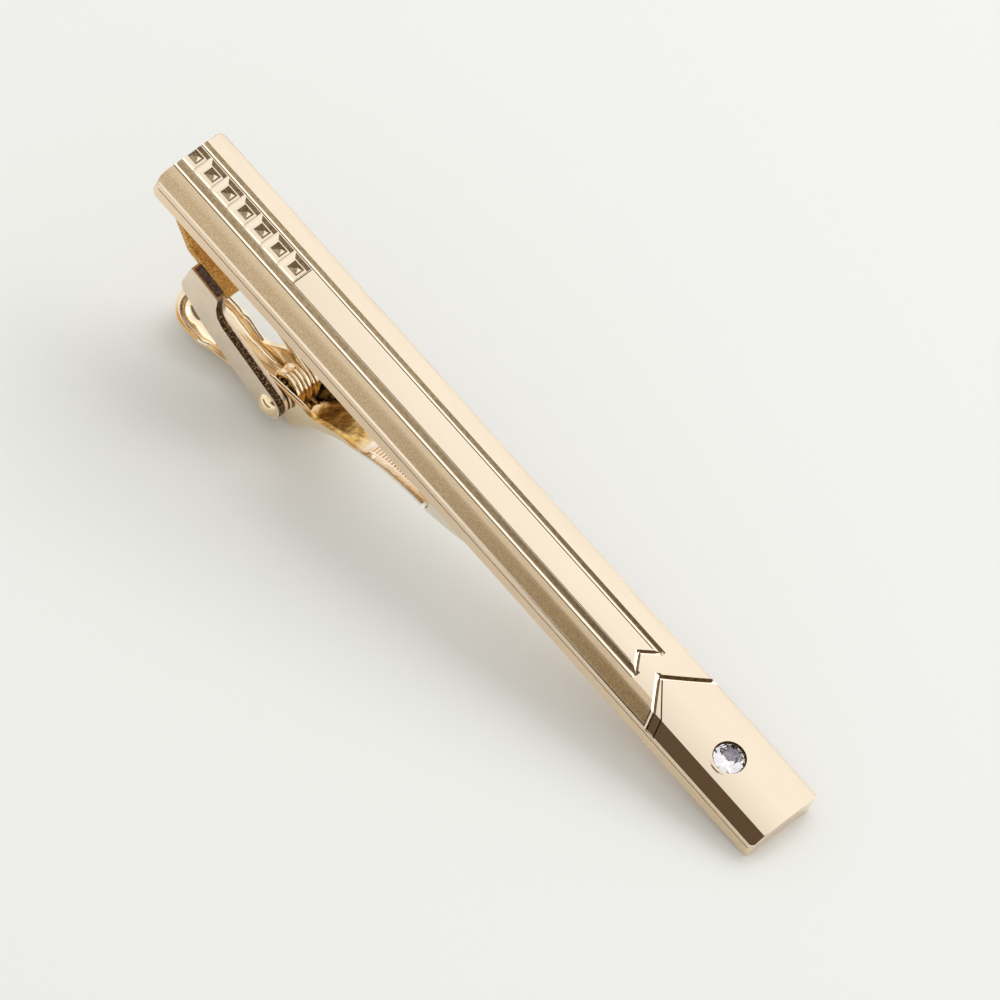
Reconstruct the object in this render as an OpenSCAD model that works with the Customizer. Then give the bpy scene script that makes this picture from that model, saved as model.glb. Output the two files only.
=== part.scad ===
// Tie clip: an engraved bar with a sprung alligator lever on its back.
// X runs from the plain end towards the end with the stone, Y across the bar, Z out of the engraved face.
// The origin is where the jaw's teeth close on the flat back. Millimetres.

/* [Bar] */
// Length of the bar
bar_l = 60; // [56:0.5:70]
// Width of the bar
bar_w = 6; // [5.8:0.1:7]
// Thickness at the middle of the face
bar_t = 2; // [1.8:0.1:2.6]
// Rise of the gentle crown from the long edges to the middle line
crown_rise = 0.08; // [0.04:0.01:0.12]
// Width of the sloping band along the near edge
band_w = 1.05; // [0.8:0.05:1.2]
// Drop of the sloping band
band_drop = 0.45; // [0.3:0.05:0.55]
// Rounding where the band meets the near side
shoulder_r = 0.3; // [0.15:0.05:0.4]
// Rounding of the far edge
far_edge_r = 0.2; // [0.1:0.05:0.3]
// Rounding under the lower edges
under_r = 0.2; // [0.1:0.05:0.3]
// Corner radius of the plain end, seen from above
plain_corner_r = 0.6; // [0.4:0.1:0.9]
// Corner radius of the stone end, seen from above
stone_corner_r = 0.3; // [0.2:0.05:0.5]
// Bevel on the upper edge of both ends
end_bevel = 0.2; // [0.1:0.05:0.3]

/* [Engraving] */
// How far the engraving's middle line lies from the bar's, towards the far edge
engraving_y = 0.16; // [0:0.01:0.2]
// Distance of each long groove from the engraving's middle line
groove_y = 1.24; // [1.2:0.02:1.3]
// Width of the long groove on the far side
far_groove_w = 0.5; // [0.3:0.05:0.6]
// Width of the long groove on the near side
near_groove_w = 0.65; // [0.3:0.05:0.7]
// Depth of the long grooves
groove_depth = 0.16; // [0.1:0.02:0.25]
// Length of the long grooves from the plain end
groove_l = 46; // [42:0.5:48]
// Depth of the swallowtail that closes the grooves
tail_depth = 1.2; // [0.8:0.1:1.6]
// Width of the swallowtail's groove
tail_w = 0.38; // [0.25:0.01:0.45]
// Distance of the chevron's point from the plain end
chevron_x = 47; // [46.5:0.25:50]
// Run of the chevron along the bar over half the bar's width
chevron_run = 2.6; // [1.8:0.1:3]
// Width of the chevron groove
chevron_w = 0.7; // [0.4:0.05:0.9]
// Depth of the chevron groove
chevron_depth = 0.18; // [0.1:0.02:0.25]
// Number of engraved squares
square_count = 7; // [5:1:9]
// Spacing of the squares
square_pitch = 1.69; // [1.65:0.01:1.8]
// Side of a square's sunk frame
square_side = 1.46; // [1.3:0.02:1.5]
// Centre of the first square from the plain end
square_start = 0.3; // [0.25:0.05:1]
// Depth of the squares
square_depth = 0.2; // [0.15:0.01:0.25]
// Side of the pyramid that stands in each square
pyramid_side = 1.1; // [0.8:0.05:1.15]

/* [Stone] */
// Diameter of the stone
stone_d = 2.3; // [2:0.1:2.6]
// Distance of the stone from the stone end
stone_from_end = 5.6; // [4:0.1:6]
// Height of the stone's crown over its girdle
stone_crown = 0.34; // [0.25:0.02:0.4]
// Height of the girdle
stone_girdle = 0.1; // [0.06:0.02:0.14]
// Depth of the pavilion
stone_pavilion = 0.85; // [0.6:0.05:0.9]
// Radial play of the stone in its seat
stone_play = 0.03; // [0.02:0.01:0.06]
// How far the table stands over the bar's face
stone_proud = 0.06; // [0:0.02:0.12]

/* [Mounting leg] */
// Width of the leg
leg_w = 4; // [3.9:0.05:4.3]
// Thickness of the leg's strip
leg_t = 0.5; // [0.4:0.05:0.6]
// Distance of the folded bend from the plain end
leg_from_end = 1.6; // [1:0.1:3]
// Inner radius of the folded bend
leg_bend_r = 0.48; // [0.4:0.02:0.7]
// Length of the foot that is soldered to the bar
foot_l = 5.6; // [4:0.2:8]
// Angle at which the leg slopes away from the bar
leg_slope = 42; // [38:1:46]
// Length of the sloping stretch
slope_l = 2.48; // [2.2:0.02:2.6]
// Inner radius of the bend into the seat plate
knee_r = 0.55; // [0.3:0.05:0.8]
// Length of the seat plate that carries the yoke
seat_l = 3.85; // [3.7:0.05:4.4]
// Distance of the yoke's web back from the seat plate's front edge
web_setback = 0.28; // [0.1:0.02:0.4]
// Tilt of the seat plate and of the yoke's web
seat_tilt = 7; // [5:0.5:9]
// Size of the solder fillets round the foot
solder_size = 0.35; // [0.2:0.05:0.5]

/* [Yoke] */
// Width of the web's margin on each side of the leg
web_margin = 0.6; // [0.55:0.05:0.7]
// Thickness of the yoke's sheet
yoke_t = 0.85; // [0.7:0.05:0.9]
// Length of the web
web_l = 2.8; // [2.6:0.05:3]
// Distance from the web's rear edge forward to the pin
pin_forward = 9.5; // [9.2:0.05:9.8]
// Distance from the web down to the pin
pin_drop = 4.87; // [4.7:0.05:5.1]
// Radius of the boss round the pin
boss_r = 1.1; // [1:0.05:1.2]
// Radius of the ear's elbow
elbow_r = 1.05; // [0.95:0.05:1.1]
// Radius of the ear's heel
heel_r = 0.95; // [0.8:0.05:1]

/* [Rivet] */
// Diameter of the rivet's shank
shank_d = 0.9; // [0.8:0.05:1]
// Diameter of the domed head
head_d = 1.72; // [1.5:0.02:1.9]
// Height of the domed head
head_h = 0.56; // [0.4:0.02:0.7]
// Diameter of the peened end
peen_d = 1.4; // [1.3:0.05:1.6]
// Height of the peened end
peen_h = 0.36; // [0.25:0.02:0.45]
// Radial clearance of the shank in the ears
rivet_play = 0.02; // [0.01:0.01:0.04]
// Radial running clearance of the shank in the lever
pivot_play = 0.05; // [0.03:0.01:0.08]

/* [Lever] */
// Gap between each ear and the lever's side
side_gap = 0.1; // [0.06:0.02:0.14]
// Thickness of the lever's sheet
lever_t = 0.4; // [0.35:0.05:0.45]
// Distance from the pin back to the middle of the thumb pad
thumb_l = 8.3; // [8:0.1:8.4]
// Width of the thumb pad
pad_w = 4.2; // [4:0.05:4.4]
// Drop from the pin to the underside of the thumb pad
pad_drop = 3.9; // [3.8:0.05:4.2]
// Drop from the pin to the rim of the thumb pad
pad_rim_drop = 2.5; // [2.4:0.05:2.6]
// Drop from the pin to the underside of the belly
belly_drop = 2.07; // [2.03:0.01:2.15]
// Rise of the lever's rim over the pin
lug_rise = 1.15; // [1.05:0.05:1.2]
// Distance from the pin forward to the root of the flat jaw
root_l = 6.9; // [6.7:0.1:7.2]
// Rise from the pin to the underside of the jaw's root
root_rise = 4.45; // [4.3:0.05:4.6]
// Distance from the pin forward to the jaw's tip
jaw_l = 17.5; // [17:0.25:18.5]
// Drop of the jaw's tip under the bar's back
tip_drop = 1; // [0.9:0.05:1.2]
// Width of the jaw
jaw_w = 5; // [4.6:0.1:5.2]
// Length of the toothed lips at the tip
lip_l = 4; // [3.2:0.1:4.2]
// Number of teeth along each side lip
side_tooth_count = 4; // [3:1:5]
// Number of teeth along the end lip
end_tooth_count = 4; // [3:1:5]
// Depth of the teeth
tooth_depth = 0.35; // [0.2:0.05:0.4]
// Gap left between the closed teeth and the bar's back
tooth_gap = 0.05; // [0.03:0.01:0.1]
// Number of gripping ridges across the jaw
ridge_count = 16; // [8:1:18]
// Spacing of the ridges
ridge_pitch = 0.26; // [0.22:0.01:0.28]
// Depth of the ridges
ridge_depth = 0.06; // [0.04:0.01:0.08]

/* [Spring] */
// Diameter of the spring wire
wire_d = 0.38; // [0.35:0.01:0.38]
// Mean radius of the coil
coil_r = 1.2; // [1.16:0.01:1.22]
// Spacing of the turns
coil_pitch = 0.8; // [0.79:0.005:0.8]
// Angle that the coil turns through on top of its whole turns, from one leg to the other
part_turn_angle = 151; // [148:1:154]

/* [Hidden] */

// Colours
gold = [0.91, 0.82, 0.66];
raw_gold = [0.82, 0.62, 0.34];
solder_brown = [0.35, 0.24, 0.19];
stone_lilac = [0.86, 0.84, 0.88, 0.6];
cement_grey = [0.55, 0.53, 0.52];

// Cuts run past the faces that they open by this much
overrun = 0.5;
round_fn = 64;
arc_steps = 10;

// Small sizes
notch_l = 0.3;
notch_depth = 0.32;
seat_ledge = 0.05;
braze_inset = 0.15;
braze_step = 0.06;
leg_gap = 0.08;
coil_play = 0.02;
jaw_lip = 0.06;

// Shares of a size, which stay as they are when the size changes
braze_share = 0.3;
ridge_start_share = 0.1;
pavilion_tip_share = 0.1;
table_share = 0.56;

// Places worked out from the sizes above
half_w = bar_w / 2;
yoke_w = leg_w + 2 * web_margin;
flat_half = half_w - band_w;
edge_z = face_z(-half_w);
bend_mean_r = leg_bend_r + leg_t / 2;
knee_mean_r = knee_r + leg_t / 2;
leg_moves = [[foot_l, 0], [bend_mean_r, 180 - leg_slope], [slope_l, 0],
    [knee_mean_r, leg_slope - seat_tilt], [seat_l, 0]];
foot_start = [leg_from_end + leg_bend_r + leg_t + foot_l, -leg_t / 2];
leg_path = walk(foot_start, 180, leg_moves);
seat_end = leg_path[len(leg_path) - 1];
seat_dir = [cos(seat_tilt), -sin(seat_tilt)];
seat_down = [-sin(seat_tilt), -cos(seat_tilt)];
web_front = seat_end + seat_down * leg_t / 2 - seat_dir * web_setback;
web_rear = web_front - seat_dir * web_l;
pin = web_rear + [pin_forward, -pin_drop];
grip_x = pin[0] + jaw_l;
ear_inner = yoke_w / 2 - yoke_t;
lever_half = ear_inner - side_gap;
tip_z = -tip_drop - pin[1];
tooth_z = -tooth_gap - pin[1];

// Points along an arc about a centre
function arc(c, r, from, to, steps = arc_steps) =
    [for (i = [0:steps]) let (a = from + (to - from) * i / steps) c + r * [cos(a), sin(a)]];

// Points of a quadratic curve from a to c, drawn towards b
function curve(a, b, c, steps = 6) =
    [for (i = [0:steps]) let (t = i / steps) (1 - t) * (1 - t) * a + 2 * t * (1 - t) * b + t * t * c];

// A path made by walking straight stretches [length, 0] and left-hand bends [radius, angle]
function walk(p, heading, moves, i = 0) =
    i == len(moves) ? [p] :
    let (m = moves[i])
    m[1] == 0 ?
        concat([p], walk(p + m[0] * [cos(heading), sin(heading)], heading, moves, i + 1)) :
    let (c = p + m[0] * [-sin(heading), cos(heading)])
    let (bend = arc(c, m[0], heading - 90, heading - 90 + m[1]))
    concat([for (k = [0:arc_steps - 1]) bend[k]],
        walk(bend[arc_steps], heading + m[1], moves, i + 1));

// The outline of a strip of thickness t along a path
function unit(v) = v / norm(v);
function left_of(v) = [-v[1], v[0]];
function strip_normal(p, i) =
    let (before = i == 0 ? p[1] - p[0] : p[i] - p[i - 1])
    let (after = i == len(p) - 1 ? before : p[i + 1] - p[i])
    let (n = left_of(unit(before)))
    let (m = unit(n + left_of(unit(after))))
    m / (m * n);
function strip(p, t) = concat(
    [for (i = [0:len(p) - 1]) p[i] + strip_normal(p, i) * t / 2],
    [for (i = [len(p) - 1:-1:0]) p[i] - strip_normal(p, i) * t / 2]);

// Height of the bar's face at a distance from its middle line
function face_z(y) =
    bar_t - crown_rise * pow(y / half_w, 2) - band_drop * max(0, -y - flat_half) / band_w;

// The bar's section, from the top of the near band round by the far edge to the near shoulder
face_run = flat_half + half_w - far_edge_r;
bar_section = concat(
    [for (i = [0:arc_steps - 1]) let (y = face_run * i / arc_steps - flat_half) [y, face_z(y)]],
    curve([half_w - far_edge_r, face_z(half_w - far_edge_r)], [half_w, face_z(half_w)],
        [half_w, face_z(half_w) - far_edge_r]),
    curve([half_w, under_r], [half_w, 0], [half_w - under_r, 0]),
    curve([under_r - half_w, 0], [-half_w, 0], [-half_w, under_r]),
    curve([-half_w, edge_z - shoulder_r], [-half_w, edge_z],
        [-half_w, edge_z] + unit([band_w, band_drop]) * shoulder_r));

// Draws in the lengthwise plane and gives the drawing a width about the middle line
module across(w) {
    rotate([90, 0, 0]) translate([0, 0, -w / 2]) linear_extrude(w) children();
}

// A groove of V section from a to b on the face
module groove(a, b, w, depth) {
    run = b - a;
    flat_run = norm([run[0], run[1]]);
    rise = atan2(run[2], flat_run);
    translate(a) rotate([0, 0, atan2(run[1], run[0])]) rotate([0, -rise, 0])
        translate([-w / 4, 0, 0]) rotate([90, 0, 90]) linear_extrude(norm(run) + w / 2)
            polygon([[-w, depth], [0, -depth], [w, depth]]);
}

// Grooves one after another through places on the face, each [along, across]
module groove_path(places, w, depth) {
    spots = [for (p = places) [p[0], p[1], face_z(p[1])]];
    for (i = [0:len(spots) - 2]) groove(spots[i], spots[i + 1], w, depth);
}

// A sunk square with a pyramid left standing in it
module sunk_square() {
    difference() {
        translate([-square_side / 2, -square_side / 2, -square_depth])
            cube([square_side, square_side, square_depth + overrun]);
        intersection() {
            across(pyramid_side) pyramid_outline();
            rotate([0, 0, 90]) across(pyramid_side) pyramid_outline();
        }
    }
}

module pyramid_outline() {
    polygon([[-pyramid_side / 2, -square_depth - overrun], [-pyramid_side / 2, -square_depth],
        [0, -crown_rise / 2], [pyramid_side / 2, -square_depth],
        [pyramid_side / 2, -square_depth - overrun]]);
}

module bar() {
    color(gold) translate([-grip_x, 0, 0]) difference() {
        intersection() {
            rotate([90, 0, 90]) linear_extrude(bar_l) polygon(bar_section);
            linear_extrude(bar_t) bar_plan();
            across(bar_w) bar_profile();
        }
        engraving();
        translate([bar_l - stone_from_end, 0, seat_floor_z])
            cylinder(h = bar_t, d = stone_d + 2 * stone_play, $fn = round_fn);
    }
}

module bar_plan() {
    x0 = plain_corner_r;
    x1 = bar_l - stone_corner_r;
    polygon(concat(
        arc([x0, half_w - x0], plain_corner_r, 90, 180),
        arc([x0, -half_w + x0], plain_corner_r, 180, 270),
        arc([x1, -half_w + stone_corner_r], stone_corner_r, 270, 360),
        arc([x1, half_w - stone_corner_r], stone_corner_r, 0, 90)));
}

module bar_profile() {
    polygon([[0, 0], [bar_l, 0], [bar_l, bar_t - end_bevel], [bar_l - end_bevel, bar_t],
        [end_bevel, bar_t], [0, bar_t - end_bevel]]);
}

// Where the chevron's arm is at a distance across the bar
function chevron_place(y) = [chevron_x + chevron_run * abs(y - engraving_y) / half_w, y];

module engraving() {
    for (g = [[groove_y, far_groove_w], [-groove_y, near_groove_w]]) {
        y = engraving_y + g[0];
        groove_path([[-overrun, y], [groove_l, y]], g[1], groove_depth);
        groove_path([[groove_l, y], [groove_l - tail_depth, engraving_y]], tail_w, groove_depth);
    }
    groove_path([for (y = [half_w, engraving_y, -flat_half, -half_w]) chevron_place(y)],
        chevron_w, chevron_depth);
    for (i = [0:square_count - 1])
        translate([square_start + i * square_pitch, engraving_y, face_z(engraving_y)])
            sunk_square();
}

// The stone's outline is octagonal above and below a round girdle
girdle_z = bar_t + stone_proud - stone_crown;
seat_floor_z = girdle_z - stone_girdle - stone_pavilion - seat_ledge;

module stone_pavilion_body() {
    translate([0, 0, girdle_z - stone_girdle - stone_pavilion])
        cylinder(h = stone_pavilion, d1 = stone_d * pavilion_tip_share, d2 = stone_d,
            $fn = round_fn);
}

module crystal() {
    color(stone_lilac) translate([bar_l - stone_from_end - grip_x, 0, 0]) {
        stone_pavilion_body();
        translate([0, 0, girdle_z - stone_girdle])
            cylinder(h = stone_girdle, d = stone_d, $fn = round_fn);
        intersection() {
            translate([0, 0, girdle_z])
                cylinder(h = stone_crown, d1 = stone_d / cos(22.5), d2 = stone_d * table_share,
                    $fn = 8);
            translate([0, 0, girdle_z])
                cylinder(h = stone_crown, d = stone_d, $fn = round_fn);
        }
    }
}

// Cement fills the seat round the stone's point
module crystal_cement() {
    color(cement_grey) translate([bar_l - stone_from_end - grip_x, 0, 0]) difference() {
        translate([0, 0, seat_floor_z])
            cylinder(h = seat_ledge + stone_pavilion, d = stone_d + 2 * stone_play,
                $fn = round_fn);
        stone_pavilion_body();
    }
}

// One strip, folded back under its soldered foot, then sloping down to the seat plate
module mounting_leg() {
    color(raw_gold) translate([-grip_x, 0, 0]) across(leg_w) polygon(strip(leg_path, leg_t));
}

// A low wedge of solder round the foot's sides and front edge
module foot_solder() {
    x0 = leg_from_end + leg_bend_r + leg_t;
    x1 = x0 + foot_l;
    s = solder_size;
    color(raw_gold) translate([-grip_x, 0, 0]) difference() {
        intersection() {
            across(leg_w + 2 * s) polygon([[x0, 0], [x1 + s, 0], [x1, -s], [x0, -s]]);
            translate([x0, 0, 0]) rotate([90, 0, 90]) linear_extrude(foot_l + s)
                polygon([[-leg_w / 2 - s, 0], [leg_w / 2 + s, 0], [leg_w / 2, -s],
                    [-leg_w / 2, -s]]);
        }
        translate([x0 - overrun, -leg_w / 2, -leg_t]) cube([foot_l + overrun, leg_w, leg_t]);
    }
}

// Joins two circles by the straight lines that touch both
module tangent_pair(a, ra, b, rb) {
    turn = atan2(b[1] - a[1], b[0] - a[0]);
    lean = acos((ra - rb) / norm(b - a));
    translate(a) circle(ra, $fn = round_fn);
    translate(b) circle(rb, $fn = round_fn);
    polygon([for (k = [[a, ra, 1], [b, rb, 1], [b, rb, -1], [a, ra, -1]])
        k[0] + k[1] * [cos(turn + k[2] * lean), sin(turn + k[2] * lean)]]);
}

// Places of the ear's heel and elbow, as shares of the way from the web to the pin
heel_shares = [0.083, 0.448];
elbow_shares = [0.346, 0.663];
neck_shares = [0.315, 0.283];
heel = web_rear + [pin_forward * heel_shares[0], -pin_drop * heel_shares[1]];
elbow = web_rear + [pin_forward * elbow_shares[0], -pin_drop * elbow_shares[1]];
neck = web_rear + [pin_forward * neck_shares[0], -pin_drop * neck_shares[1]];

module ear_outline() {
    tangent_pair(heel, heel_r, elbow, elbow_r);
    tangent_pair(elbow, elbow_r, pin, boss_r);
    polygon([web_rear, web_front, neck, elbow + [elbow_r * cos(45), elbow_r * sin(45)], elbow,
        heel, heel - [heel_r, 0]]);
}

// The yoke is a folded channel: a web under the seat plate and two ears that hold the rivet
module yoke() {
    color(gold) translate([-grip_x, 0, 0]) difference() {
        union() {
            for (side = [1, -1])
                translate([0, side * (yoke_w - yoke_t) / 2, 0]) across(yoke_t) ear_outline();
            across(yoke_w) polygon([web_rear, web_front, web_front + seat_down * yoke_t,
                web_rear + seat_down * yoke_t]);
        }
        translate([pin[0], 0, pin[1]]) rotate([90, 0, 0])
            cylinder(h = yoke_w + overrun, d = shank_d + 2 * rivet_play, center = true,
                $fn = round_fn);
    }
}

// Brazing metal in the two corners between the seat plate and the web's margins
module yoke_braze() {
    foot = (leg_w + web_margin - braze_inset) / 2;
    color(solder_brown) translate([-grip_x, 0, 0])
        for (side = [1, -1])
            translate([web_rear[0], 0, web_rear[1]]) rotate([0, seat_tilt, 0])
                translate([braze_inset, 0, 0]) rotate([90, 0, 90])
                    linear_extrude(web_l - 2 * braze_inset)
                        polygon([[side * leg_w / 2, 0], [side * leg_w / 2, leg_t - braze_step],
                            [side * foot, leg_t * braze_share],
                            [side * (yoke_w / 2 - braze_inset), 0]]);
}

// Outline of a domed head of radius r and height h that stands on the line x = 0
function dome(r, h, steps = 12) =
    let (big = (r * r + h * h) / (2 * h))
    let (half_angle = asin(r / big))
    [for (i = [0:steps]) let (a = half_angle * (1 - i / steps))
        [big * sin(a), h - big + big * cos(a)]];

// A turned rivet: domed head on the near side, shank, and a peened end
module pivot_rivet() {
    half = yoke_w / 2;
    color(gold) translate([pin[0] - grip_x, 0, pin[1]]) rotate([90, 0, 0])
        rotate_extrude($fn = round_fn) polygon(concat(
            [for (p = dome(peen_d / 2, peen_h)) [p[0], -half - p[1]]],
            [for (i = [0:1]) [0, half * (2 * i - 1)]],
            [for (p = reversed(dome(head_d / 2, head_h))) [p[0], half + p[1]]],
            [[shank_d / 2, half], [shank_d / 2, -half]]));
}
function reversed(v) = [for (i = [len(v) - 1:-1:0]) v[i]];

// Section of the lever: a unit trough whose corners grow squarer as the share falls
trough_steps = 8;
function trough(power_share) =
    [for (i = [0:trough_steps]) let (a = 180 * i / trough_steps)
        [-sign(cos(a)) * pow(abs(cos(a)), power_share), -pow(sin(a), power_share)]];

// Stations of the lever from the pad to the pin: place along the thumb side, climb of the
// underside and of the rim, widening towards the pad, and roundness of the section
thumb_shares = [
    [1, 0, 0, 1, 0.75],
    [0.843, 0.164, 0.027, 1, 0.7],
    [0.735, 0.273, 0.11, 0.67, 0.65],
    [0.518, 0.492, 0.15, 0, 0.55],
    [0.313, 0.71, 0.603, 0, 0.4],
    [0.169, 0.874, 0.918, 0, 0.25],
    [0.06, 0.956, 0.973, 0, 0.25],
    [0, 1, 1, 0, 0.25]];
// Stations from the pin to the jaw's root, widening towards the jaw
throat_shares = [
    [0.232, 0.041, 0.08, 0, 0.25],
    [0.391, 0.256, 0.133, 0.06, 0.45],
    [0.62, 0.55, 0.5, 0.45, 0.6],
    [0.855, 0.87, 0.891, 0.88, 0.45]];
// Stations along the jaw: place and climb between its root and its tip
jaw_shares = [
    [0, 0],
    [0.264, 0.397],
    [0.557, 0.587],
    [0.623, 0.61],
    [0.797, 0.759],
    [1, 1]];

function mix(a, b, share) = a + (b - a) * share;
pad_stations = [for (s = thumb_shares)
    [-thumb_l * s[0], mix(lever_half, pad_w / 2, s[3]), mix(-pad_drop, -belly_drop, s[1]),
        mix(-pad_rim_drop, lug_rise, s[2]), s[4]]];
throat_stations = [for (s = throat_shares)
    [root_l * s[0], mix(lever_half, jaw_w / 2, s[3]), mix(-belly_drop, root_rise, s[1]),
        mix(lug_rise, root_rise + lever_t + jaw_lip, s[2]), s[4]]];
jaw_stations = [for (s = jaw_shares)
    let (z = mix(root_rise, tip_z, s[1]))
    [mix(root_l, jaw_l, s[0]), jaw_w / 2, z, z + lever_t + jaw_lip, 0.3]];
stations = concat(pad_stations, throat_stations, jaw_stations);

// One ring of the lever's skin at a station: outer trough, then inner trough back
function ring(s) =
    let (u = trough(s[4]))
    let (depth = s[3] - s[2])
    concat([for (p = u) [s[0], s[1] * p[0], s[3] + depth * p[1]]],
        [for (p = reversed(u)) [s[0], (s[1] - lever_t) * p[0], s[3] + (depth - lever_t) * p[1]]]);

// A closed skin through rings of equal count, with flat ends
module skin(rings) {
    n = len(rings[0]);
    half = n / 2;
    last = (len(rings) - 1) * n;
    points = [for (r = rings) for (p = r) p];
    sides = [for (i = [0:len(rings) - 2]) for (j = [0:n - 1])
        let (a = i * n + j) let (b = i * n + (j + 1) % n)
        each [[b, a, b + n], [b + n, a, a + n]]];
    caps = [for (j = [0:half - 2])
        let (k = n - 1 - j)
        each [[j, j + 1, k], [k, j + 1, k - 1],
            [last + j + 1, last + j, last + k], [last + k - 1, last + j + 1, last + k]]];
    polyhedron(points, concat(sides, caps));
}

// The rounded end of the thumb pad: the pad's own section turned through half a circle
module pad_end() {
    s = stations[0];
    u = trough(s[4]);
    depth = s[3] - s[2];
    near = [for (i = [0:trough_steps / 2]) u[i]];
    outer = [for (p = near) [-s[1] * p[0], s[3] + depth * p[1]]];
    inner = [for (p = reversed(near)) [-(s[1] - lever_t) * p[0], s[3] + (depth - lever_t) * p[1]]];
    translate([s[0], 0, 0]) rotate([0, 0, 90])
        rotate_extrude(angle = 180, $fn = round_fn) polygon(concat(outer, inner));
}

// Underside of the lever at a distance from the pin
function under_z(x, i = 0) =
    i == len(stations) - 2 || x < stations[i + 1][0] ?
        let (a = stations[i])
        let (b = stations[i + 1])
        mix(a[2], b[2], (x - a[0]) / (b[0] - a[0])) :
    under_z(x, i + 1);

// A row of pointed teeth along a length, standing on a wall
function teeth(length, count) =
    [for (i = [0:2 * count]) [length * i / (2 * count), tooth_z - (i % 2) * tooth_depth]];

module side_lip() {
    x0 = jaw_l - lip_l;
    translate([x0, 0, 0]) polygon(concat(teeth(lip_l, side_tooth_count),
        [[lip_l, under_z(jaw_l) + lever_t / 2], [0, under_z(x0) + lever_t / 2]]));
}

module end_lip() {
    polygon(concat([for (p = teeth(jaw_w, end_tooth_count)) p - [jaw_w / 2, 0]],
        [[jaw_w / 2, tip_z + lever_t / 2], [-jaw_w / 2, tip_z + lever_t / 2]]));
}

module lever_blank() {
    skin([for (s = stations) ring(s)]);
    pad_end();
    for (side = [1, -1])
        translate([0, side * (jaw_w - lever_t) / 2, 0]) across(lever_t) side_lip();
    translate([jaw_l - lever_t, 0, 0]) rotate([90, 0, 90]) linear_extrude(lever_t) end_lip();
}

module lever() {
    x_notch = jaw_l - lip_l - notch_l;
    x_ridge = mix(root_l, jaw_l, ridge_start_share);
    color(gold) translate([pin[0] - grip_x, 0, pin[1]]) difference() {
        lever_blank();
        rotate([90, 0, 0]) cylinder(h = yoke_w, d = shank_d + 2 * pivot_play, center = true,
            $fn = round_fn);
        for (side = [1, -1])
            translate([x_notch, side * jaw_w / 2 - notch_depth / 2, under_z(x_notch) - overrun])
                cube([notch_l, notch_depth, tip_drop]);
        for (i = [0:ridge_count - 1])
            let (x = x_ridge + i * ridge_pitch)
            translate([x, 0, under_z(x) + lever_t]) across(jaw_w - 2 * lever_t)
                polygon([[-ridge_pitch / 3, overrun], [0, -ridge_depth], [ridge_pitch / 3, overrun]]);
    }
}

// Route of the spring wire: from under the web to the top of the coil, round the pin, and from
// the bottom of the coil to the thumb pad
coil_room = 2 * (lever_half - lever_t - coil_play) - wire_d;
whole_turns = max(1, floor(coil_room / coil_pitch - part_turn_angle / 360));
coil_angle = 360 * whole_turns + part_turn_angle;
coil_steps = ceil(coil_angle / 45);
coil_half_l = coil_pitch * coil_angle / 720;
web_touch_share = 0.36;
web_touch = web_front - seat_dir * web_l * web_touch_share
    + seat_down * (yoke_t + wire_d / 2 + leg_gap) - pin;
coil_start = leaving_angle(web_touch);
pad_touch_share = 0.75;
pad_touch_y_share = 0.25;
pad_touch_x = -thumb_l * pad_touch_share;
pad_touch = [pad_touch_x, -lever_half * pad_touch_y_share,
    under_z(pad_touch_x) + lever_t + wire_d / 2 + leg_gap];

// Angle on the coil at which a straight leg from a point touches it from above
function leaving_angle(p) = atan2(p[1], p[0]) - acos(coil_r / norm(p));

web_leg = [for (share = [0, 0.3, 0.6, 0.9])
    mix([web_touch[0], coil_half_l, web_touch[1]], coil_point(0), share)];
function coil_point(share) =
    let (a = coil_start - coil_angle * share)
    [coil_r * cos(a), mix(coil_half_l, -coil_half_l, share), coil_r * sin(a)];
coil = [for (i = [0:coil_steps]) coil_point(i / coil_steps)];
pad_leg = [for (share = [0.1, 0.4, 0.7, 1]) mix(coil_point(1), pad_touch, share)];
wire_path = concat(web_leg, coil, pad_leg);

// Least gap between two turns, measured on the wire's middle points
coil_gap = min([for (i = [0:len(wire_path) - 1]) for (j = [i + 4:1:len(wire_path) - 1])
    norm(wire_path[i] - wire_path[j])]) - wire_d;
echo(coil_gap = coil_gap);

function wire_ring(p, i, r) =
    let (dir = unit(p[min(i + 1, len(p) - 1)] - p[max(i - 1, 0)]))
    let (n = unit(cross(dir, [0, 1, 0])))
    let (b = cross(dir, n))
    [for (k = [0:5]) p[i] + r * (cos(60 * k) * n + sin(60 * k) * b)];

module torsion_spring() {
    rings = [for (i = [0:len(wire_path) - 1]) wire_ring(wire_path, i, wire_d / 2)];
    color(gold) translate([pin[0] - grip_x, 0, pin[1]]) skin(rings);
}

bar();
crystal();
crystal_cement();
mounting_leg();
foot_solder();
yoke();
yoke_braze();
pivot_rivet();
lever();
torsion_spring();
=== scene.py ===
import bpy
import math
from mathutils import Matrix, Vector, noise


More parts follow.
